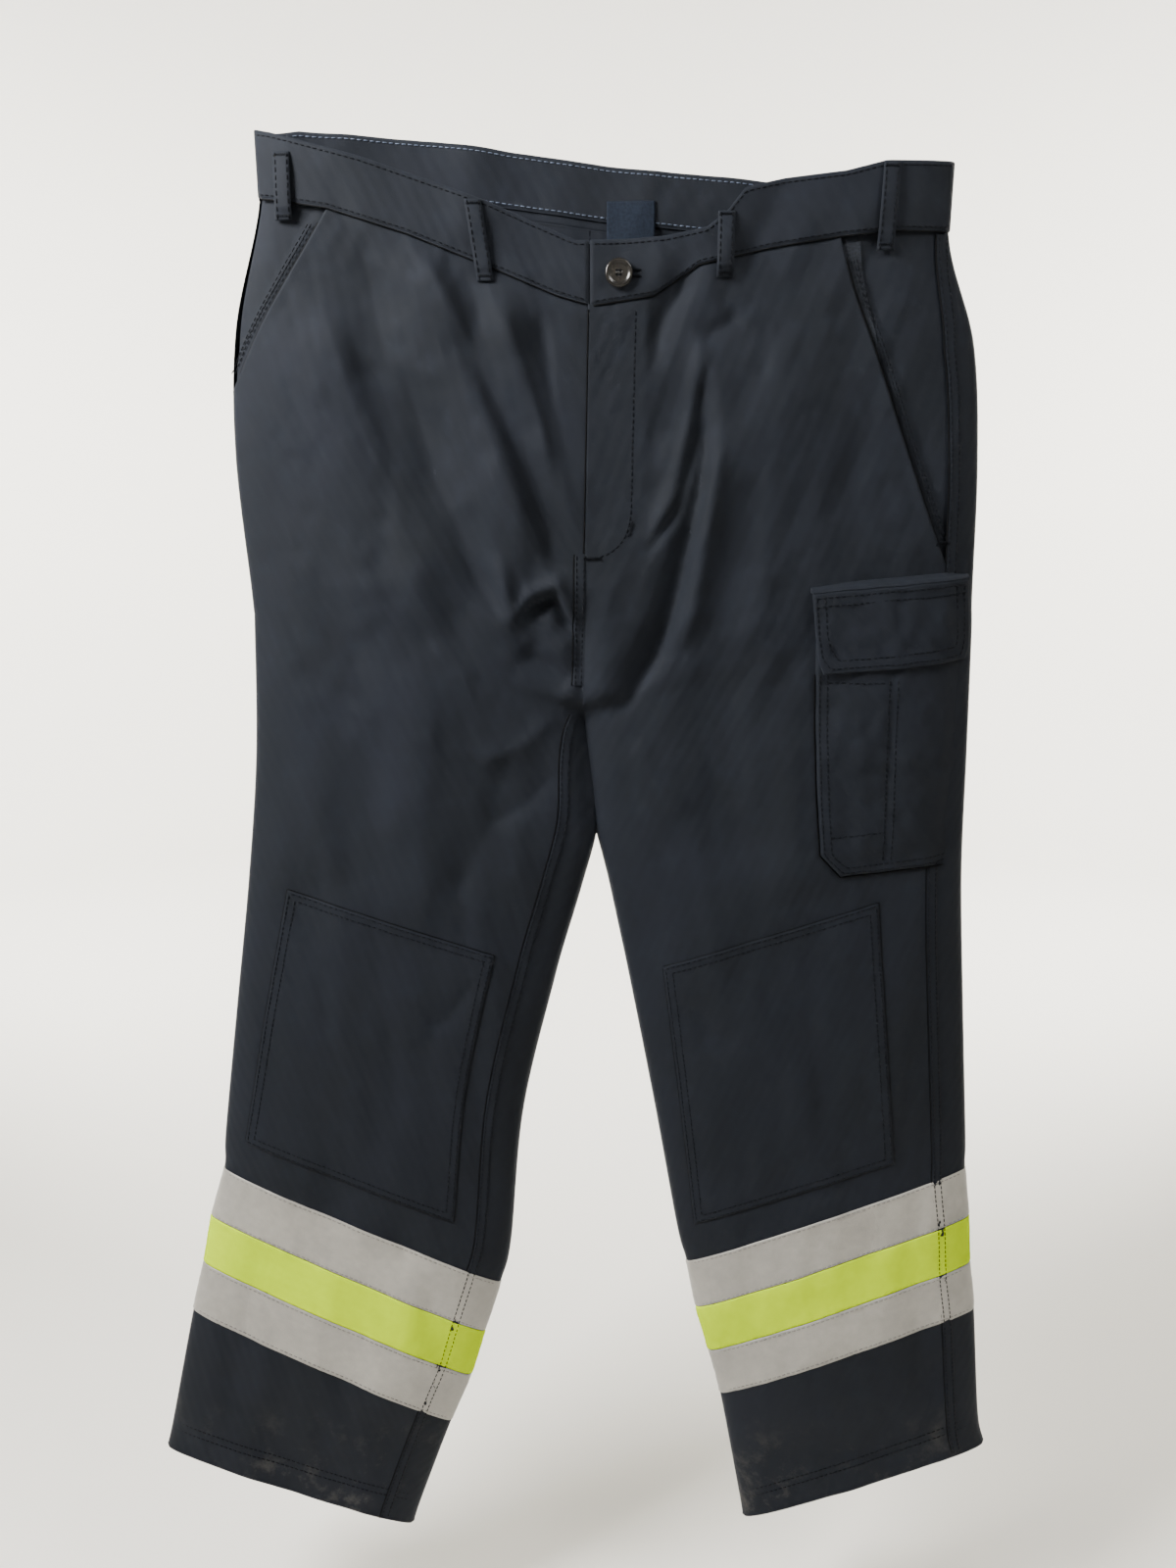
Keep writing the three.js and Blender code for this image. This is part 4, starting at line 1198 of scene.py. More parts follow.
def waist_points(g, side, out):
    """Places a grid of (x, z) on the waistband, out millimetres over the body."""
    x, z = g[..., 0], g[..., 1]
    y = waist_y(x)
    share = y / WAIST_HALF_DEPTH
    h = relief(x, z, side) * share ** 1.5
    foot = line_at(WAIST_SEAM, x) if side < 0 else line_at(BAND_TOP_BACK, x) - BAND_HEIGHT
    up = smooth(z - foot, 0, 40)
    wave = 1.6 * BROAD[0](x, 0 * z) * share * up
    h = h * (1.25 - 0.5 * up)
    crushed = smooth(np.abs(x), 200, 240) * up
    h = h + 1.6 * crushed * np.sin(z / 5.5 + x / 19) * share
    # A layer further out is longer round, so its ends lie further from the middle.
    middle = sum(WAIST) / 2
    stretch = 1 + out / 249
    xs = middle + (x - middle) * np.where(y < 12, stretch, 1)
    return set_in(xs, side * (y + out * np.clip(y / 6, 0.2, 1)) + side * h * 0.8 + wave, z)


def waist_piece(name, x0, x1, side, low, high, top_line, bottom_line, lift=(0, 0)):
    """A length of the waistband between two heights over the body, rounded at its edges."""
    x = np.unique(np.r_[np.linspace(x0, x1, int(abs(x1 - x0) / 3.2)), x0 + 1, x1 - 1, x0 + 3,
                        x1 - 3])
    g = band_grid(x, line_at(top_line, x) + lift[0], line_at(bottom_line, x) + lift[1])
    e = edge_distance(np.stack([g[..., 0], 0 * g[..., 0], g[..., 1]], -1))
    t = np.clip(e / 2.2, 0, 1)
    mid = (low + high) / 2
    curve = np.sqrt(1 - (1 - t) ** 2)
    top = waist_points(g, side, mid + (high - mid) * curve)
    bottom = waist_points(g, side, mid - (mid - low) * curve)
    return slab_mesh(name, top, bottom, navy(), flip=side > 0)


def waist_run(x, z, side, out, rider="trousers"):
    """Adds a run of stitches along the waistband."""
    g = np.stack([x, z], -1)
    p = waist_points(g, side, out)
    n = np.zeros(p.shape)
    slope = np.gradient(p[:, 1]) / np.where(np.abs(np.gradient(p[:, 0])) < 1e-3, 1e-3,
                                            np.gradient(p[:, 0]))
    n[:, 0], n[:, 1] = -slope, 1
    n *= side * np.sign(out) / np.linalg.norm(n, axis=-1, keepdims=True)
    RUNS.setdefault(rider, []).append((p, n))


class TROUSERS_OT_waistband(bpy.types.Operator):
    """Makes the waistband's three lengths, its inner facing and the blank size label"""

    bl_idname = "trousers.waistband"
    bl_label = "Waistband"

    def execute(self, context):
        back_seam = [(x, z - BAND_HEIGHT) for x, z in BAND_TOP_BACK]
        low, high = 0.3, 2.6
        pieces = [
            ("waistband_front_left", FLY_X + 0.3, 256.5, -1, BAND_TOP_FRONT, WAIST_SEAM),
            ("waistband_front_right", -243.5, FLY_X - 0.3, -1, BAND_TOP_FRONT, WAIST_SEAM),
            ("waistband_back", -243.5, 256.5, 1, BAND_TOP_BACK, back_seam),
        ]
        for name, x0, x1, side, top, bottom in pieces:
            o = waist_piece(name + "_cloth", x0, x1, side, low, high, top, bottom)
            settle(o, "trousers", name)
            x = np.linspace(x0 + 3, x1 - 3, 160)
            waist_run(x, line_at(bottom, x) + 2.5, side, high + 0.1)
            # A near-black cord just under the band's lower edge paints the shade in its seam.
            g = np.stack([x, line_at(bottom, x) - 0.5], -1)
            PAINTED_SHADE_LINES.setdefault("trousers", []).append(waist_points(g, side, 1.7))
            waist_run(x, line_at(top, x) - 3.0, side, high + 0.1)
        facing = waist_piece("waistband_facing", -226, 240, 1, -2.0, -0.2, BAND_TOP_BACK,
                             back_seam, (-1.5, 7))
        settle(facing, "trousers", "waistband_facing_back")
        x = np.linspace(-222, 236, 200)
        for lift in (9.5, 42.0):
            waist_run(x, line_at(back_seam, x) + lift, 1, -2.15, "inside")
        under = waist_piece("waistband_underlap", FLY_X - 6, FLY_X + 45, -1, -2.8, -0.5,
                            BAND_TOP_FRONT, WAIST_SEAM, (-2.0, 2.0))
        settle(under, "trousers")
        x = np.linspace(8, 44, 24)
        g = band_grid(x, 0 * x - 12, 0 * x - 63, 20)
        curl = 0.8 * np.sin((g[..., 1] + 12) / 16)
        top, bottom = waist_points(g, 1, -2.4 + curl), waist_points(g, 1, -3.1 + curl)
        o = slab_mesh("size_label_tape", top, bottom, label())
        settle(o, "trousers", "size_label", slot="label_tape")
        return {"FINISHED"}


# Each belt loop: its node, x, side, tilt in radians, and how far its top is dropped.
LOOPS = [
    ("belt_loop_front_1", -226, -1, 0.02, 10), ("belt_loop_front_2", -85, -1, -0.15, 0),
    ("belt_loop_front_3", 94, -1, 0.0, -1), ("belt_loop_front_4", 211, -1, 0.03, 0),
    ("belt_loop_back_1", -122, 1, 0, 0), ("belt_loop_back_2", -6, 1, 0, 0),
    ("belt_loop_back_3", 123, 1, 0, 0),
]


class TROUSERS_OT_loops(bpy.types.Operator):
    """Makes the belt loops, folded strips that are bar-tacked at both ends"""

    bl_idname = "trousers.loops"
    bl_label = "Belt loops"

    def execute(self, context):
        back_seam = [(x, z - BAND_HEIGHT) for x, z in BAND_TOP_BACK]
        for name, x, side, tilt, drop in LOOPS:
            top_line, seam = (
                (BAND_TOP_FRONT, WAIST_SEAM) if side < 0 else (BAND_TOP_BACK, back_seam)
            )
            top = float(line_at(top_line, x)) - 1 - drop
            bottom = float(line_at(seam, x)) - 13
            n, half = 34, 6.2
            t = np.linspace(0, 1, n)[:, None]
            across = np.array([-1, -0.93, -0.75, -0.4, 0, 0.4, 0.75, 0.93, 1])[None, :] * half
            z = top + (bottom - top) * t + 0 * across
            lean = math.tan(tilt) * (z - (top + bottom) / 2)
            xs = x + across + lean
            arch = 3.0 * (np.sin(np.pi * t) ** 0.7)
            base = 2.9 - 1.2 * smooth(t, 0.8, 0.92)
            thick = 1.5 * (1 - (np.abs(across) / half) ** 6 * 0.8)
            g = np.stack([xs, z], -1)
            outer = waist_points(g, side, base + arch + thick + 0 * xs)
            inner = waist_points(g, side, base + arch + 0.1 + 0 * xs)
            o = slab_mesh(name + "_cloth", outer, inner, navy(), flip=side > 0)
            settle(o, "trousers", name)
            for k in (-4.2, 4.2):
                pts = waist_points(
                    np.stack([x + k + lean[:, 0], z[:, 0]], -1), side,
                    (base + arch + 1.55)[:, 0],
                )
                RUNS.setdefault("trousers", []).append((pts, np.tile([0, side, 0], (n, 1))))
            # A bar tack across each end.
            for at in (0.05, 0.93):
                m = 15
                q = np.linspace(-5.2, 5.2, m)
                zz = top + (bottom - top) * at + np.where(np.arange(m) % 2, 0.8, -0.8)
                out = 2.9 - 1.2 * float(smooth(at, 0.8, 0.92)) + 1.6 + 3.0 * (
                    math.sin(math.pi * at) ** 0.7)
                xx = x + q + math.tan(tilt) * (zz - (top + bottom) / 2)
                pts = waist_points(np.stack([xx, zz], -1), side, out)
                TACKS.setdefault("trousers", []).append(pts)
        return {"FINISHED"}


class TROUSERS_OT_fly(bpy.types.Operator):
    """Makes the fly's placket with its hooked stitching, the under-lap and the zip's finishes"""

    bl_idname = "trousers.fly"
    bl_label = "Fly"

    def execute(self, context):
        leg = LEGS["left"]
        z = np.linspace(-88, -270, 60)
        x0 = np.interp(z, [-270, -88], [-8.6, -5.0])
        g = coons(
            [(-5.2, -86), (38, -84)], [(-9.2, -271), (30, -262)],
            np.stack([x0, z], -1), [(38, -84), (36, -200), (30, -262)], 3.4,
        )
        o = slab("fly_placket", leg, g, -1, -3.4, -2.2, navy(), 1.6)
        settle(o, "trousers", "fly_facing")
        hook = np.array(
            [(29, -92), (28, -160), (27, -228), (26, -243), (22, -256), (13, -266), (2, -271),
             (-7, -273)], float)
        hook = spline(hook, np.linspace(0, len(hook) - 1, 60))
        stitch("trousers", leg, hook[:, 0], hook[:, 1], -1, 0.3)
        # A near-black cord along the fly's folded edge paints the shade that the edge casts.
        painted_shade_line("trousers", leg, [-5.9, -7.6, -9.4], [-92, -180, -268], out=0.9)
        bar_tack("trousers", leg, 28, -244, -2.5, -11, out=0.9)
        bar_tack("trousers", leg, -8, -272, 12, 0.5, out=1.0)
        g = coons([(-26, -92), (30, -92)], [(-26, -268), (30, -268)],
                  [(-26, -92), (-26, -268)], [(30, -92), (30, -268)], 6)
        xs, zs = g[..., 0], g[..., 1]
        deep = -2.2 - 11.0 * smooth(xs, -14, -2) + 0.5 * MEDIUM[0](xs * 2, zs)
        top = np.stack([xs, -(25 + deep), zs], -1)
        o = slab_mesh("fly_underlap_cloth", top, top + np.array([0, 1.3, 0]), navy())
        settle(o, "trousers", "fly_underlap")
        finishes = {
            "zip_tape_right": zip_tape, "zip_tape_left": zip_tape, "zip_coil_right": zip_plastic,
            "zip_coil_left": zip_plastic, "zip_slider": zip_metal, "zip_pull": zip_metal,
            "zip_stop": zip_metal,
        }
        for name, finish_of in finishes.items():
            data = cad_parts[name].data
            data.materials.clear()
            data.materials.append(finish_of())
        return {"FINISHED"}


class TROUSERS_OT_button(bpy.types.Operator):
    """Makes the waist button with its four eyes, its thread and the buttonhole's edging"""

    bl_idname = "trousers.button"
    bl_label = "Waist button"

    def execute(self, context):
        low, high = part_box("waist_button")
        cx, cz = (low[0] + high[0]) / 2 * 1000, (low[2] + high[2]) / 2 * 1000
        y_back = high[1] * 1000
        eye_ring = 1.9  # how far each eye lies from the middle
        # The button's turned outline: radius and height over its back.
        profile = [
            (0, 0), (5, 0), (8.4, 0.1), (9.4, 0.5), (9.95, 1.3), (9.9, 2.2), (9.4, 3.0),
            (8.6, 3.25), (7.8, 3.1), (7.0, 2.5), (6.2, 2.1), (4.0, 1.95), (2.9, 1.9),
        ]
        turns, eye_turns = 64, 16
        a = np.linspace(0, 2 * np.pi, turns + 1)[:-1]
        ring = np.array([
            np.stack([cx + r * np.cos(a), np.full(turns, y_back - h), cz + r * np.sin(a)], -1)
            for r, h in profile[1:]
        ])
        verts = ring.reshape(-1, 3)
        faces = grid_faces(len(profile) - 1, turns, True).tolist()
        faces.append(list(range(turns)))
        # The middle: a plate with four eyes, filled from the ring to each eye's rim.
        inner = (len(profile) - 2) * turns
        b = np.linspace(0, 2 * np.pi, eye_turns + 1)[:-1]
        verts = verts.tolist()
        h = profile[-1][1]
        top = len(verts)
        verts.append([cx, y_back - h, cz])
        for k in range(4):
            q = math.radians(45 + 90 * k)
            ex, ez = cx + eye_ring * math.cos(q), cz + eye_ring * math.sin(q)
            first = len(verts)
            # The eye's rim and its floor, and the wall between them.
            for eye_r, deep in ((0.95, 0.02), (0.9, 1.8)):
                verts += [
                    [ex + eye_r * math.cos(w + q), y_back - h + deep, ez + eye_r * math.sin(w + q)]
                    for w in b
                ]
            wall = [(first + j, first + (j + 1) % eye_turns) for j in range(eye_turns)]
            faces += [[j, jj, jj + eye_turns, j + eye_turns] for j, jj in wall]
            faces.append([j + eye_turns for j, _ in wall][::-1])
            start_ring = round((q - math.pi / 4) / (2 * math.pi) * turns)
            arc = [inner + (start_ring + s) % turns for s in range(turns // 4 + 1)]
            # From the eye's far side round to the centre on both flanks.
            quarter = eye_turns // 2
            outer_half = [first + (j - quarter // 2) % eye_turns for j in range(quarter + 1)]
            steps = len(arc) - 1
            for j in range(quarter):
                s0, s1 = round(j * steps / quarter), round((j + 1) * steps / quarter)
                faces.append([outer_half[j], outer_half[j + 1]] + arc[s0 : s1 + 1][::-1])
            near = [first + (quarter // 2 + j) % eye_turns for j in range(quarter + 1)]
            faces += [[near[j], near[j + 1], top] for j in range(quarter)]
            faces.append([outer_half[-1], top, arc[-1]])
            faces.append([outer_half[0], arc[0], top])
        o = make("button_cap", np.array(verts), faces, resin())
        bm = bmesh.new()
        bm.from_mesh(o.data)
        bmesh.ops.recalc_face_normals(bm, faces=bm.faces)
        bm.to_mesh(o.data)
        bm.free()
        settle(o, "waist_button", "waist_button", slot="button_resin")
        # Four strands cross between the eyes, and the shank is wound under the button.
        strands = []
        for k in (0, 2):
            q0, q1 = math.radians(45 + 90 * k), math.radians(135 + 90 * k)
            for shift in (-0.22, 0.22):
                t = np.linspace(0, 1, 9)
                x = cx + eye_ring * (math.cos(q0) * (1 - t) + math.cos(q1) * t)
                zz = cz + eye_ring * (math.sin(q0) * (1 - t) + math.sin(q1) * t) + shift
                y = y_back - h - 0.3 * np.sin(np.pi * t) ** 0.5 + 0.25
                strands.append(np.stack([x, y, zz], -1))
        o = tubes("button_thread", strands, 0.2, thread())
        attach(o, "waist_button")
        low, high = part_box("button_shank")
        t = np.linspace(0, 1, 120)
        r = (high[0] - low[0]) * 500 - 0.3
        turn = t * 2 * np.pi * 5  # wound five times
        y = high[1] * 1000 + (low[1] - high[1]) * 1000 * t
        wound = np.stack([cx + r * np.cos(turn), y, cz + r * np.sin(turn)], -1)
        o = tubes("shank_winding", [wound], 0.35, thread())
        settle(o, "trousers", "button_shank", slot="sewing_thread")
        # Buttonhole: close edging stitches round the slit, which runs to the wearer's left.
        # The waistband is set in and the button isn't, so the slit is drawn higher to meet it.
        n, length, raised = 46, 16.5, 3.6
        t = np.linspace(0, 1, n)
        half = 0.4 + 1.5 * np.sin(np.pi * np.minimum(t * 6, 1) / 2)
        zig = np.where(np.arange(n) % 2, 0.9, -0.5)
        for s in (1, -1):
            g = np.stack([cx + length * t, cz + s * (half + zig) + raised], -1)
            TACKS.setdefault("trousers", []).append(waist_points(g, -1, 2.9))
        return {"FINISHED"}


def tubes(name, lines, radius, material, sides=6):
    """Round threads along lines of points."""
    verts, faces, count = [], [], 0
    a = np.linspace(0, 2 * np.pi, sides + 1)[:-1]
    for q in lines:
        q = np.asarray(q, float)
        d = np.gradient(q, axis=0)
        d /= np.linalg.norm(d, axis=-1, keepdims=True) + 1e-9
        ref = np.tile([0.0, 0.0, 1.0], (len(q), 1))
        ref[np.abs(d[:, 2]) > 0.9] = (1, 0, 0)
        s = np.cross(d, ref)
        s /= np.linalg.norm(s, axis=-1, keepdims=True)
        w = np.cross(s, d)
        ring = q[:, None] + radius * (
            np.cos(a)[None, :, None] * s[:, None] + np.sin(a)[None, :, None] * w[:, None]
        )
        verts.append(ring.reshape(-1, 3))
        f = grid_faces(len(q), sides, True, count)
        faces += f.tolist()
        faces.append(list(range(count, count + sides)))
        faces.append(list(range(count + (len(q) - 1) * sides, count + len(q) * sides))[::-1])
        count += len(q) * sides
    return make(name, np.concatenate(verts), faces, material)


class TROUSERS_OT_slant_pockets(bpy.types.Operator):
    """Makes the slant pockets' facings, lining bags and mouth stitching"""

    bl_idname = "trousers.slant_pockets"
    bl_label = "Slant pockets"

    def execute(self, context):
        for name, leg in LEGS.items():
            mouth = spline(POCKET_MOUTH[name], np.linspace(0, len(POCKET_MOUTH[name]) - 1, 90))
            _, vm = leg.find(mouth[:, 0], mouth[:, 1])
            v_end = 3.1 if name == "right" else 3.95
            t = spaced(34)[None, :]
            v = level = rows(leg, 0.93, v_end, 4.0)[:, None] + 0 * t
            for _ in range(3):
                u0 = np.zeros(v.shape) if name == "right" else np.maximum(
                    seam_u(name, v) - 0.02, 0)
                u1 = np.maximum(mouth_u(name, v) + leg.mm(v, 34), u0 + 0.03)
                u = u0 + (u1 - u0) * t
                v = under_band(leg, u, level, -1)
            beyond = (mouth_u(name, v) - u) * leg.length(v)
            strip = smooth(beyond, 0.3, 1.2) * (1 - smooth(beyond, 9.2, 10.4))
            out = -2.6 + 0.9 * strip + 2.0 * smooth(beyond, 10, 40)
            out = out - 2.4 * smooth(-beyond, 0, 12)
            p = leg.at(u, v, -1, out)
            o = sheet_mesh("pocket_facing_cloth_" + name, p, navy())
            settle(o, "trousers", "pocket_facing_" + name)
            declare(p)
            v = rows(leg, 0.95, 3.45 if name == "right" else 3.6, 8)[:, None]
            t = spaced(24)[None, :]
            u = leg.mm(v, 4) + (0.72 - 0.1 * smooth(v, 3.0, 3.6)) * t
            p = leg.at(u, v, -1, -8.0, 0.6)
            q = leg.at(u, v, -1, -1.0, 0.9)
            q = q[:, 8:]
            bag = np.concatenate([p, q[:, ::-1]], axis=1)
            o = sheet_mesh("pocket_bag_cloth_" + name, bag, lining())
            settle(o, "trousers", "pocket_bag_" + name, slot="pocket_lining")
            declare(bag)
            keep = (vm > 1.02) & (mouth_u(name, vm) > 0.02)
            if name == "left":
                keep &= mouth_u(name, vm) > seam_u(name, vm) + 0.008
            line = mouth[keep]
            s = leg.sign
            # Two near-black cords along the mouth paint the shade in the gap between the front and
            # its facing.
            for out_by, height in ((0.8, -0.1), (1.7, -0.5)):
                painted_shade_line("trousers", leg, line[:, 0] + s * out_by, line[:, 1], out=height)
            for d in (6.4, 9.0):
                stitch("trousers", leg, line[:, 0] + s * d, line[:, 1], -1, -0.9)
            if name == "left":
                b = line[-4]
                bar_tack("trousers", leg, b[0] - s * 3, b[1] + 4, s * 9, 2, out=0.9)
        return {"FINISHED"}


class TROUSERS_OT_cargo(bpy.types.Operator):
    """Makes the thigh cargo pocket with its pen compartment, and the flap that closes it"""

    bl_idname = "trousers.cargo"
    bl_label = "Cargo pocket"

    def execute(self, context):
        leg = LEGS["left"]
        high = context.scene.trousers_trim.pocket * 1000
        # Where the pocket's face, its foot and its flap leave the leg's curve and run straight.
        face_x, foot_x, flap_x = 278, 284, 272
        flap_out, flap_cloth, flap_folds = 8.6, 1.6, 0.35
        left = [(172, -300), (174, -361), (176, -408), (180, -463), (185, -511), (203, -530)]
        right = [(292, -300), (294, -361), (295.5, -430), (297, -519)]
        g = coons([(172, -300), (292, -300)], [(203, -530), (297, -519)], left, right, 3.2)

        def shape(x, z, e):
            divider = np.interp(z, [-520, -300], [238.5, 232.0])
            valley = -1.6 * np.exp(-(((x - divider) / 4.0) ** 2))
            return valley * smooth(e, 0, 20) + 0.3 * MEDIUM[1](x, z) + 0.1 * SMALL[1](x, z)

        flat = np.stack([g[..., 0], np.zeros(g.shape[:2]), g[..., 1]], -1)
        e = edge_distance(flat)
        t = np.clip(e / 3.0, 0, 1)
        out = 0.4 + (high - 4.5) * np.sqrt(1 - (1 - t) ** 2) + 3.2 * smooth(e, 2, 40)
        out = out + shape(g[..., 0], g[..., 1], e)
        top = leg.over(g[..., 0], g[..., 1], -1, CLOTH + out, stiff=face_x)
        bottom = leg.over(g[..., 0], g[..., 1], -1, CLOTH + 0.1 + 0 * out, stiff=foot_x)
        o = slab_mesh("cargo_pocket_cloth", top, bottom, navy())
        settle(o, "trousers", "cargo_pocket")
        # Stitches follow the pocket's own face.
        def on_pocket(x, z, extra=0.15):
            x, z = walk(x, z)
            d = np.hypot(g[..., 0].ravel()[None] - x[:, None], g[..., 1].ravel()[None] - z[:, None])
            near = np.argsort(d, axis=1)[:, :4]
            w = 1 / (np.take_along_axis(d, near, 1) + 0.2) ** 2
            h = (out.ravel()[near] * w).sum(1) / w.sum(1)
            p = leg.over(x, z, -1, CLOTH + h + extra, stiff=face_x)
            n = leg.skin(np.minimum(x, face_x), z, -1)[1]
            RUNS.setdefault("trousers", []).append((p, n))

        inner = [(x + 9, z) for x, z in left[1:5]] + [(207, -522), (290, -512)]
        edge = [(x + 3, z) for x, z in left[1:5]] + [(204.5, -527), (294, -516.5)]
        for line in (edge, inner):
            on_pocket([q[0] for q in line], [q[1] for q in line])
        # Near-black cords round the pocket's foot paint the shade where it meets the leg.
        outline = np.array([q for q in left[1:]] + [(297, -519)], float)
        for out_by, height in ((0.7, 0.5), (0.9, 1.5)):
            painted_shade_line("trousers", leg, outline[:, 0] - out_by, outline[:, 1] - out_by,
                       out=height, stiff=foot_x)
        for dx in (-3.2, 3.2):
            on_pocket([235.5 + dx, 240.0 + dx], [-366, -516])
        on_pocket([183, 229], [-368, -368])
        on_pocket([192, 235], [-496, -491])

        # The flap: two layers, rounded corners, standing off over the pocket's mouth.
        top_line = [(167, -298), (229.5, -292.5), (291, -287)]
        fl = [(167, -298), (171, -330), (174.5, -352), (179, -361)]
        fr = [(291, -287), (294, -318), (296, -340), (293, -350)]
        gf = coons(top_line, [(179, -361), (240, -357), (293, -350)], fl, fr, 3.2)
        flat = np.stack([gf[..., 0], np.zeros(gf.shape[:2]), gf[..., 1]], -1)
        e = edge_distance(flat)
        t = np.clip(e / 1.6, 0, 1)
        wave = 0.5 * MEDIUM[0](gf[..., 0], gf[..., 1]) + 0.2 * SMALL[0](gf[..., 0], gf[..., 1])
        base = flap_out + wave * smooth(e, 0, 12)
        outer = base + flap_cloth * np.sqrt(1 - (1 - t) ** 2)
        top = leg.over(gf[..., 0], gf[..., 1], -1, CLOTH + outer, flap_folds, flap_x)
        low = leg.over(gf[..., 0], gf[..., 1], -1, CLOTH + base, flap_folds, flap_x)
        o = slab_mesh("cargo_flap_cloth", top, low, navy())
        settle(o, "cargo_flap", "cargo_flap")

        def on_flap(x, z):
            x, z = walk(x, z)
            p = leg.over(x, z, -1, CLOTH + 10.35, flap_folds, flap_x)
            n = leg.skin(np.minimum(x, flap_x), z, -1, flap_folds)[1]
            RUNS.setdefault("cargo_flap", []).append((p, n))

        for d in (2.5, 9.0):
            on_flap(
                [167 + d + 1, 171 + d, 174.5 + d, 181 + d, 240, 291 - d, 293 - d, 289 - d],
                [-298 - 4, -330, -350 + d, -359 + d, -355.5 + d, -349 + d, -335, -292],
            )
            on_flap([169, 289], [-299.5 - d, -289 - d])
        # The two halves of the closing tape, one on the pocket and one under the flap.
        for name, rider, height in (("loop", "trousers", 6.6), ("hook", "cargo_flap", 7.6)):
            low, high_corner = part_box(name + "_strip")
            x0, x1 = low[0] * 1000 + 1, high_corner[0] * 1000 - 1
            z0, z1 = low[2] * 1000 + 1, high_corner[2] * 1000 - 1
            x1 = min(x1, 282.0)
            gs = coons([(x0, z1), (x1, z1)], [(x0, z0), (x1, z0)], [(x0, z1), (x0, z0)],
                       [(x1, z1), (x1, z0)], 4)
            xs, zs = gs[..., 0], gs[..., 1]
            nap = 0.5 + 0.25 * SMALL[0](xs * 2, zs * 2)
            top = leg.over(xs, zs, -1, CLOTH + height + nap, flap_folds, flap_x)
            low = leg.over(xs, zs, -1, CLOTH + height + 0 * nap, flap_folds, flap_x)
            o = slab_mesh(name + "_tape", top, low, grip_tape())
            settle(o, rider, name + "_strip", slot="hook_and_loop")
        head = coons([(166.6, -292), (291.4, -281)], [(167, -298), (291, -287)],
                     [(166.6, -292), (167, -298)], [(291.4, -281), (291, -287)], 2.2)
        t = np.linspace(0, 1, head.shape[0])[:, None]
        low_out = 0.2 + 0 * head[..., 0]
        high_out = 0.8 + 8.9 * smooth(t, 0, 0.9) + 0 * head[..., 0]
        top = leg.over(head[..., 0], head[..., 1], -1, CLOTH + high_out, flap_folds, flap_x)
        low = leg.over(head[..., 0], head[..., 1], -1, CLOTH + low_out, 1.0)
        o = slab_mesh("cargo_flap_head_cloth", top, low, navy())
        settle(o, "trousers", "cargo_flap_head")
        return {"FINISHED"}


# Where each knee patch starts and ends across its leg, as shares of the row.
PATCH_U = {
    "right": lambda v: (np.interp(v, [7, 9], [0.126, 0.07]), 0.8 + 0 * v),
    "left": lambda v: (0.25 + 0 * v, np.interp(v, [7, 9], [0.9, 0.945])),
}


class TROUSERS_OT_patches(bpy.types.Operator):
    """Makes the knee patches with turned edges and edge stitching"""

    bl_idname = "trousers.patches"
    bl_label = "Knee patches"

    def execute(self, context):
        high = context.scene.trousers_trim.patch * 1000
        for name, leg in LEGS.items():
            v = rows(leg, 7.0, 9.0, 3.8)
            u0, u1 = PATCH_U[name](v)
            a, b = leg.flat(u0, v), leg.flat(u1, v)
            g = coons([a[0], b[0]], [a[-1], b[-1]], a, b, 3.6)

            def puckers(x, z, e):
                return 0.28 * RIPPLE(x, z) * np.exp(-(((e - 8) / 7) ** 2))

            o = slab("knee_patch_" + name, leg, g, -1, 0.1, high, navy(), 1.8, warp=puckers)
            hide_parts("knee_patch_upper_" + name, "knee_patch_lower_" + name)
            bend_at_knee(o)
            edge = np.concatenate([a, b[::-1], a[:1]])
            # A near-black cord round the patch's edge paints the shade under its rim.
            painted_shade_line("leg_" + name, leg, edge[:, 0], edge[:, 1], out=0.4)
            for d in (2.4, 8.0):
                inner_a = leg.flat(u0 + leg.mm(v, d), v)
                inner_b = leg.flat(u1 - leg.mm(v, d), v)
                n = max(1, int(d / 3.8))
                for line in (inner_a[n:-n], inner_b[n:-n]):
                    stitch("leg_" + name, leg, line[:, 0], line[:, 1], -1, high + 0.12)
                for row_i, sgn in ((0, -1), (-1, 1)):
                    p0, p1 = inner_a[row_i].copy(), inner_b[row_i].copy()
                    p0[1] += sgn * d
                    p1[1] += sgn * d
                    stitch("leg_" + name, leg, [p0[0], p1[0]], [p0[1], p1[1]], -1, high + 0.12)
        return {"FINISHED"}


def ring(leg, v_rows, out_rows, step=3.6, pucker=None):
    """Points all round a leg, one row for each (v, out)."""
    n = int(275 / step)
    t = spaced(n)
    u = np.r_[t, t[::-1][1:-1]]
    side = np.r_[-np.ones(n), np.ones(n - 2)]
    v = np.asarray(v_rows)[:, None]
    out = np.asarray(out_rows)[:, None] + 0 * u[None]
    if pucker is not None:
        out = out + pucker(u[None], v)
    return leg.at(u[None] + 0 * v, v + 0 * u[None], side[None] + 0 * v, CLOTH + out)


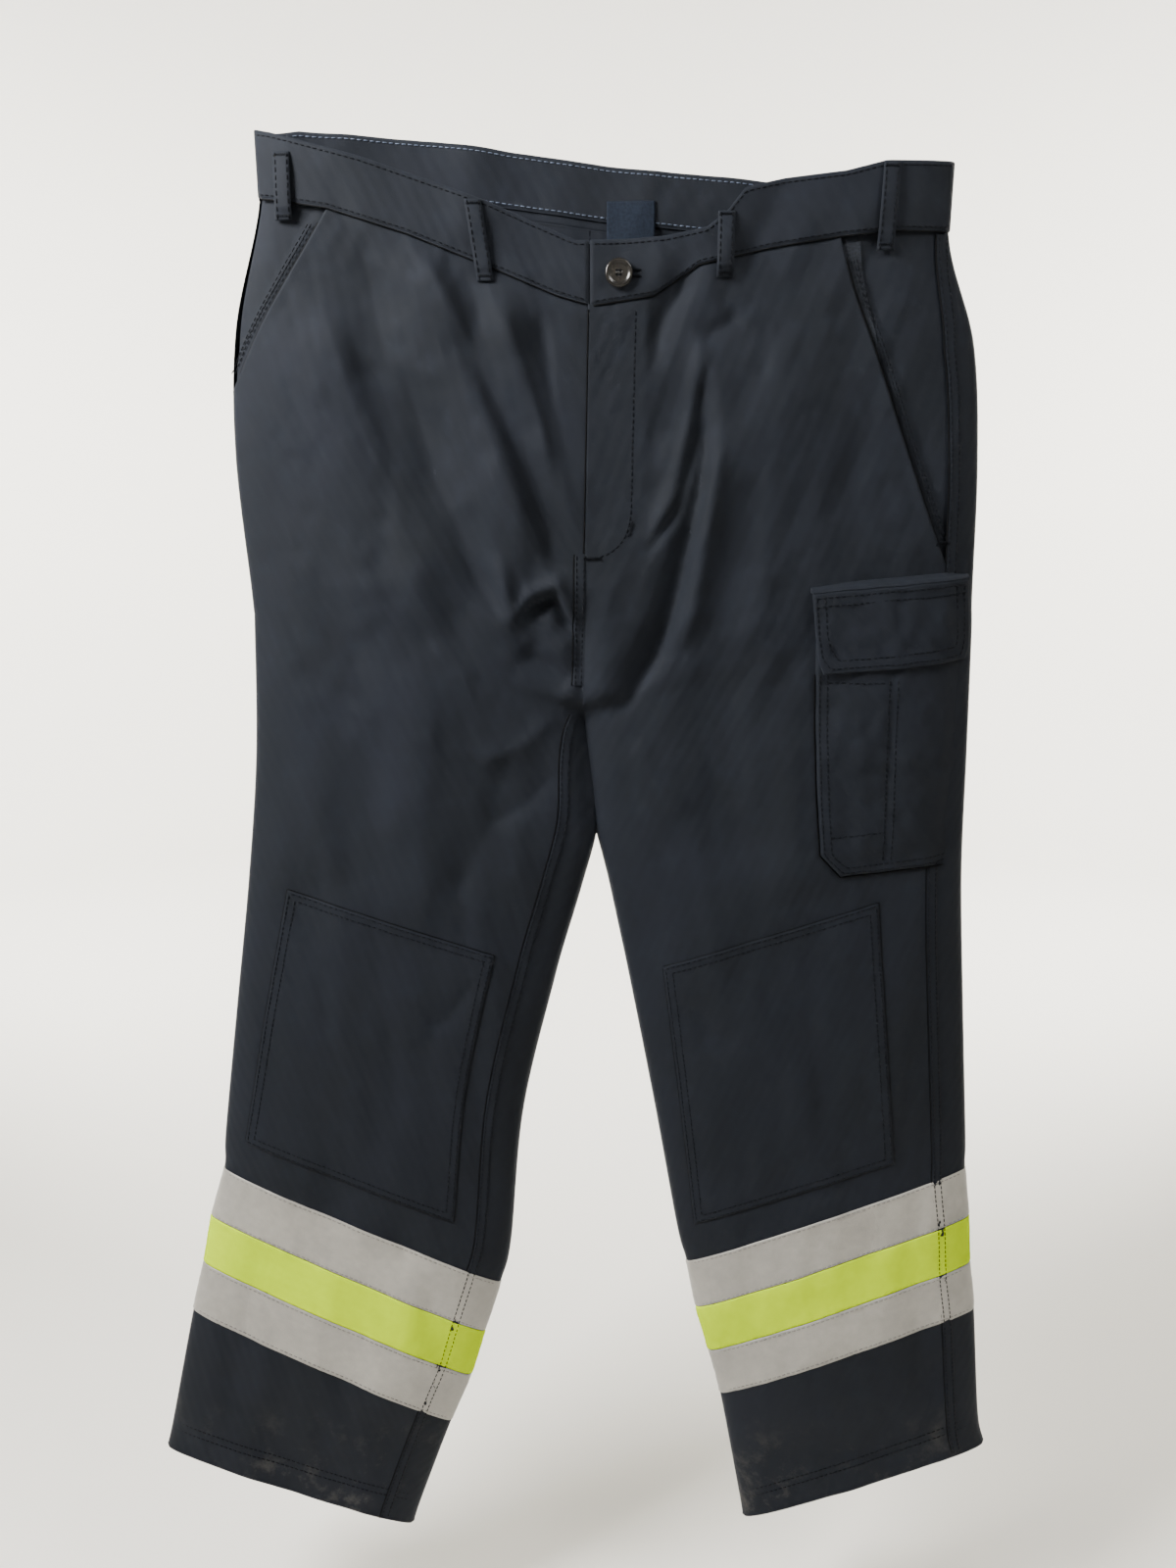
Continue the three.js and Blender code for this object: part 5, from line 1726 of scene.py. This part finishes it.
class TROUSERS_OT_bands(bpy.types.Operator):
    """Makes the reflective and fluorescent bands sewn round each shin"""

    bl_idname = "trousers.bands"
    bl_label = "Shin bands"

    def execute(self, context):
        names = ("reflective_band_top", "fluorescent_band", "reflective_band_bottom")
        for name, leg in LEGS.items():
            for k, band in enumerate(names):
                v0, v1 = BANDS[k], BANDS[k + 1]
                height = 50.0
                e = np.array([0, 0.4, 1.2]) / height
                share = np.unique(np.r_[np.linspace(0, 1, 15), e, 1 - e])
                v = v0 + 0.004 + (v1 - v0 - 0.008) * share
                edge = np.minimum(share, 1 - share) * height
                lift = 0.25 if k == 1 else 0.1
                out = lift + 0.75 * np.sqrt(1 - (1 - np.clip(edge / 1.2, 0, 1)) ** 2)

                def pucker(u, vv, k=k):
                    x, z = np.moveaxis(leg.flat(u, vv), -1, 0)
                    s = (vv - v0) / (v1 - v0)
                    amp = (0.34 if k == 1 else 0.2) * np.exp(-((np.minimum(s, 1 - s) / 0.22) ** 2))
                    return amp * RIPPLE(x * 1.3, z * 0.5) + 0.12 * RIPPLE(z, x)

                p = ring(leg, v, out, 3.6, pucker)
                o = sheet_mesh(
                    band + "_tape_" + name, p, fluorescent() if k == 1 else reflective(), ring=True
                )
                slot = "fluorescent_yellow" if k == 1 else "reflective_silver"
                settle(o, shin(name), band + "_" + name, slot=slot)
                declare(p)
                if k == 1:
                    continue
                for s in (0.055, 0.945):
                    vv = v0 + (v1 - v0) * s
                    line = leg.flat(np.linspace(0.01, 0.99, 90), vv)
                    for side in (-1, 1):
                        q, nrm = leg.skin(line[:, 0], line[:, 1], side)
                        RUNS.setdefault("tape_" + name, []).append((q + nrm * 1.0, nrm))
        return {"FINISHED"}


class TROUSERS_OT_hems(bpy.types.Operator):
    """Makes the turned hems and their stitching"""

    bl_idname = "trousers.hems"
    bl_label = "Hems"

    def execute(self, context):
        for name, leg in LEGS.items():
            v = [HEM - 0.06, HEM - 0.02, HEM + 0.02, HEM + 0.05, HEM + 0.05, HEM + 0.02]
            out = [0.15, 0.3, 0.25, -0.4, -1.6, -2.3]
            back_up = np.linspace(HEM, HEM_STITCH, 9)
            p = ring(leg, np.r_[v, back_up], np.r_[out, np.full(9, -2.5)], 4.0)
            o = sheet_mesh("hem_fold_" + name, p, navy_hem(), ring=True)
            settle(o, shin(name), "hem_" + name)
            declare(p)
            u = np.linspace(0.01, 0.99, 100)
            for vv in (HEM_STITCH, HEM_STITCH + 0.12):
                line = leg.flat(u, vv)
                for side in (-1, 1):
                    stitch("shin_" + name, leg, line[:, 0], line[:, 1], side, 0.15)
        return {"FINISHED"}


class TROUSERS_OT_back_pockets(bpy.types.Operator):
    """Makes the two back pockets' welts"""

    bl_idname = "trousers.back_pockets"
    bl_label = "Back pockets"

    def execute(self, context):
        for name, leg in LEGS.items():
            s = leg.sign
            a, b = (s * 62, s * 192)
            g = coons([(a, -118), (b, -110)], [(a, -134), (b, -126)],
                      [(a, -118), (a, -134)], [(b, -110), (b, -126)], 3)

            def lips(x, z, e):
                middle = np.interp(np.abs(x), [62, 192], [-126, -118])
                return -0.7 * np.exp(-(((z - middle) / 1.2) ** 2))

            o = slab("back_welt_cloth_" + name, leg, g, 1, 0.1, 1.5, navy(), 1.5, warp=lips)
            settle(o, "trousers", "back_welt_" + name)
            for dz in (3, -19):
                stitch("trousers", leg, [a - s * 3, b + s * 3], [-118 + dz, -110 + dz], 1, 0.2)
            for x in (a - s * 3, b + s * 3):
                z = np.interp(abs(x), [62, 192], [-126, -118])
                bar_tack("trousers", leg, x, z + 8, 0, -16, 1, 0.5)
        return {"FINISHED"}


class TROUSERS_OT_thread(bpy.types.Operator):
    """Makes all the stitches, and the near-black cords of painted seam shade, that the other pieces
    asked for, one piece for each body
    """

    bl_idname = "trousers.thread"
    bl_label = "Stitching"

    def execute(self, context):
        tack = thread("Black bar-tack thread", "#040507", "#0B0D12")
        for rider, runs in RUNS.items():
            material = thread()
            if rider.startswith("tape_"):
                material = thread("Grey tape thread", "#5A5957", "#716F6B")
            elif rider == "inside":
                material = thread("Slate facing thread", "#39404D", "#525B6B")
            o = stitch_mesh("stitches_" + rider, runs, material)
            self.place(o, rider)
        # Near-black cords of painted shade: they stand in for the shadow in the joins between
        # layers.
        shade = thread("Painted seam shade cord", "#020203", "#050608")
        for rider, lines in PAINTED_SHADE_LINES.items():
            self.place(tubes("painted_seam_shade_" + rider, lines, 0.55, shade, 5), rider)
        for rider, lines in TACKS.items():
            self.place(tubes("bar_tacks_" + rider, lines, 0.42, tack, 5), rider)
        return {"FINISHED"}

    @staticmethod
    def place(o, rider):
        if rider.startswith("leg_"):
            bend_at_knee(o)
        elif rider.startswith(("shin_", "tape_")):
            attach(o, shin(rider.split("_")[1]))
        else:
            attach(o, "trousers" if rider == "inside" else rider)


class TROUSERS_PT_pieces(bpy.types.Panel):
    """Lists the settings and a button for each group of pieces"""

    bl_label = "Firefighter's Trousers"
    bl_idname = "TROUSERS_PT_pieces"
    bl_space_type = "VIEW_3D"
    bl_region_type = "UI"
    bl_category = "Trousers"

    def draw(self, context):
        column = self.layout.column()
        column.prop(context.scene.trousers_panels, "step")
        column.prop(context.scene.trousers_trim, "patch")
        column.prop(context.scene.trousers_trim, "pocket")
        column.prop(context.scene.trousers_stage, "floor")
        column.prop(context.scene.trousers_stage, "lens")
        for operator in OPERATORS:
            column.operator(operator.bl_idname)


SETTINGS = {
    "trousers_panels": PanelSettings, "trousers_trim": TrimSettings,
    "trousers_stage": StageSettings,
}
OPERATORS = [
    TROUSERS_OT_stage, TROUSERS_OT_panels, TROUSERS_OT_seams, TROUSERS_OT_waistband,
    TROUSERS_OT_loops, TROUSERS_OT_fly, TROUSERS_OT_button, TROUSERS_OT_slant_pockets,
    TROUSERS_OT_cargo, TROUSERS_OT_patches, TROUSERS_OT_bands, TROUSERS_OT_hems,
    TROUSERS_OT_back_pockets, TROUSERS_OT_thread,
]


def register():
    for cls in (*SETTINGS.values(), *OPERATORS, TROUSERS_PT_pieces):
        bpy.utils.register_class(cls)
    for name, cls in SETTINGS.items():
        setattr(bpy.types.Scene, name, bpy.props.PointerProperty(type=cls))


def unregister():
    for name in SETTINGS:
        delattr(bpy.types.Scene, name)
    for cls in reversed((*SETTINGS.values(), *OPERATORS, TROUSERS_PT_pieces)):
        bpy.utils.unregister_class(cls)


def main():
    register()
    for operator in OPERATORS:
        group, name = operator.bl_idname.split(".")
        getattr(getattr(bpy.ops, group), name)()


if __name__ == "__main__":
    main()
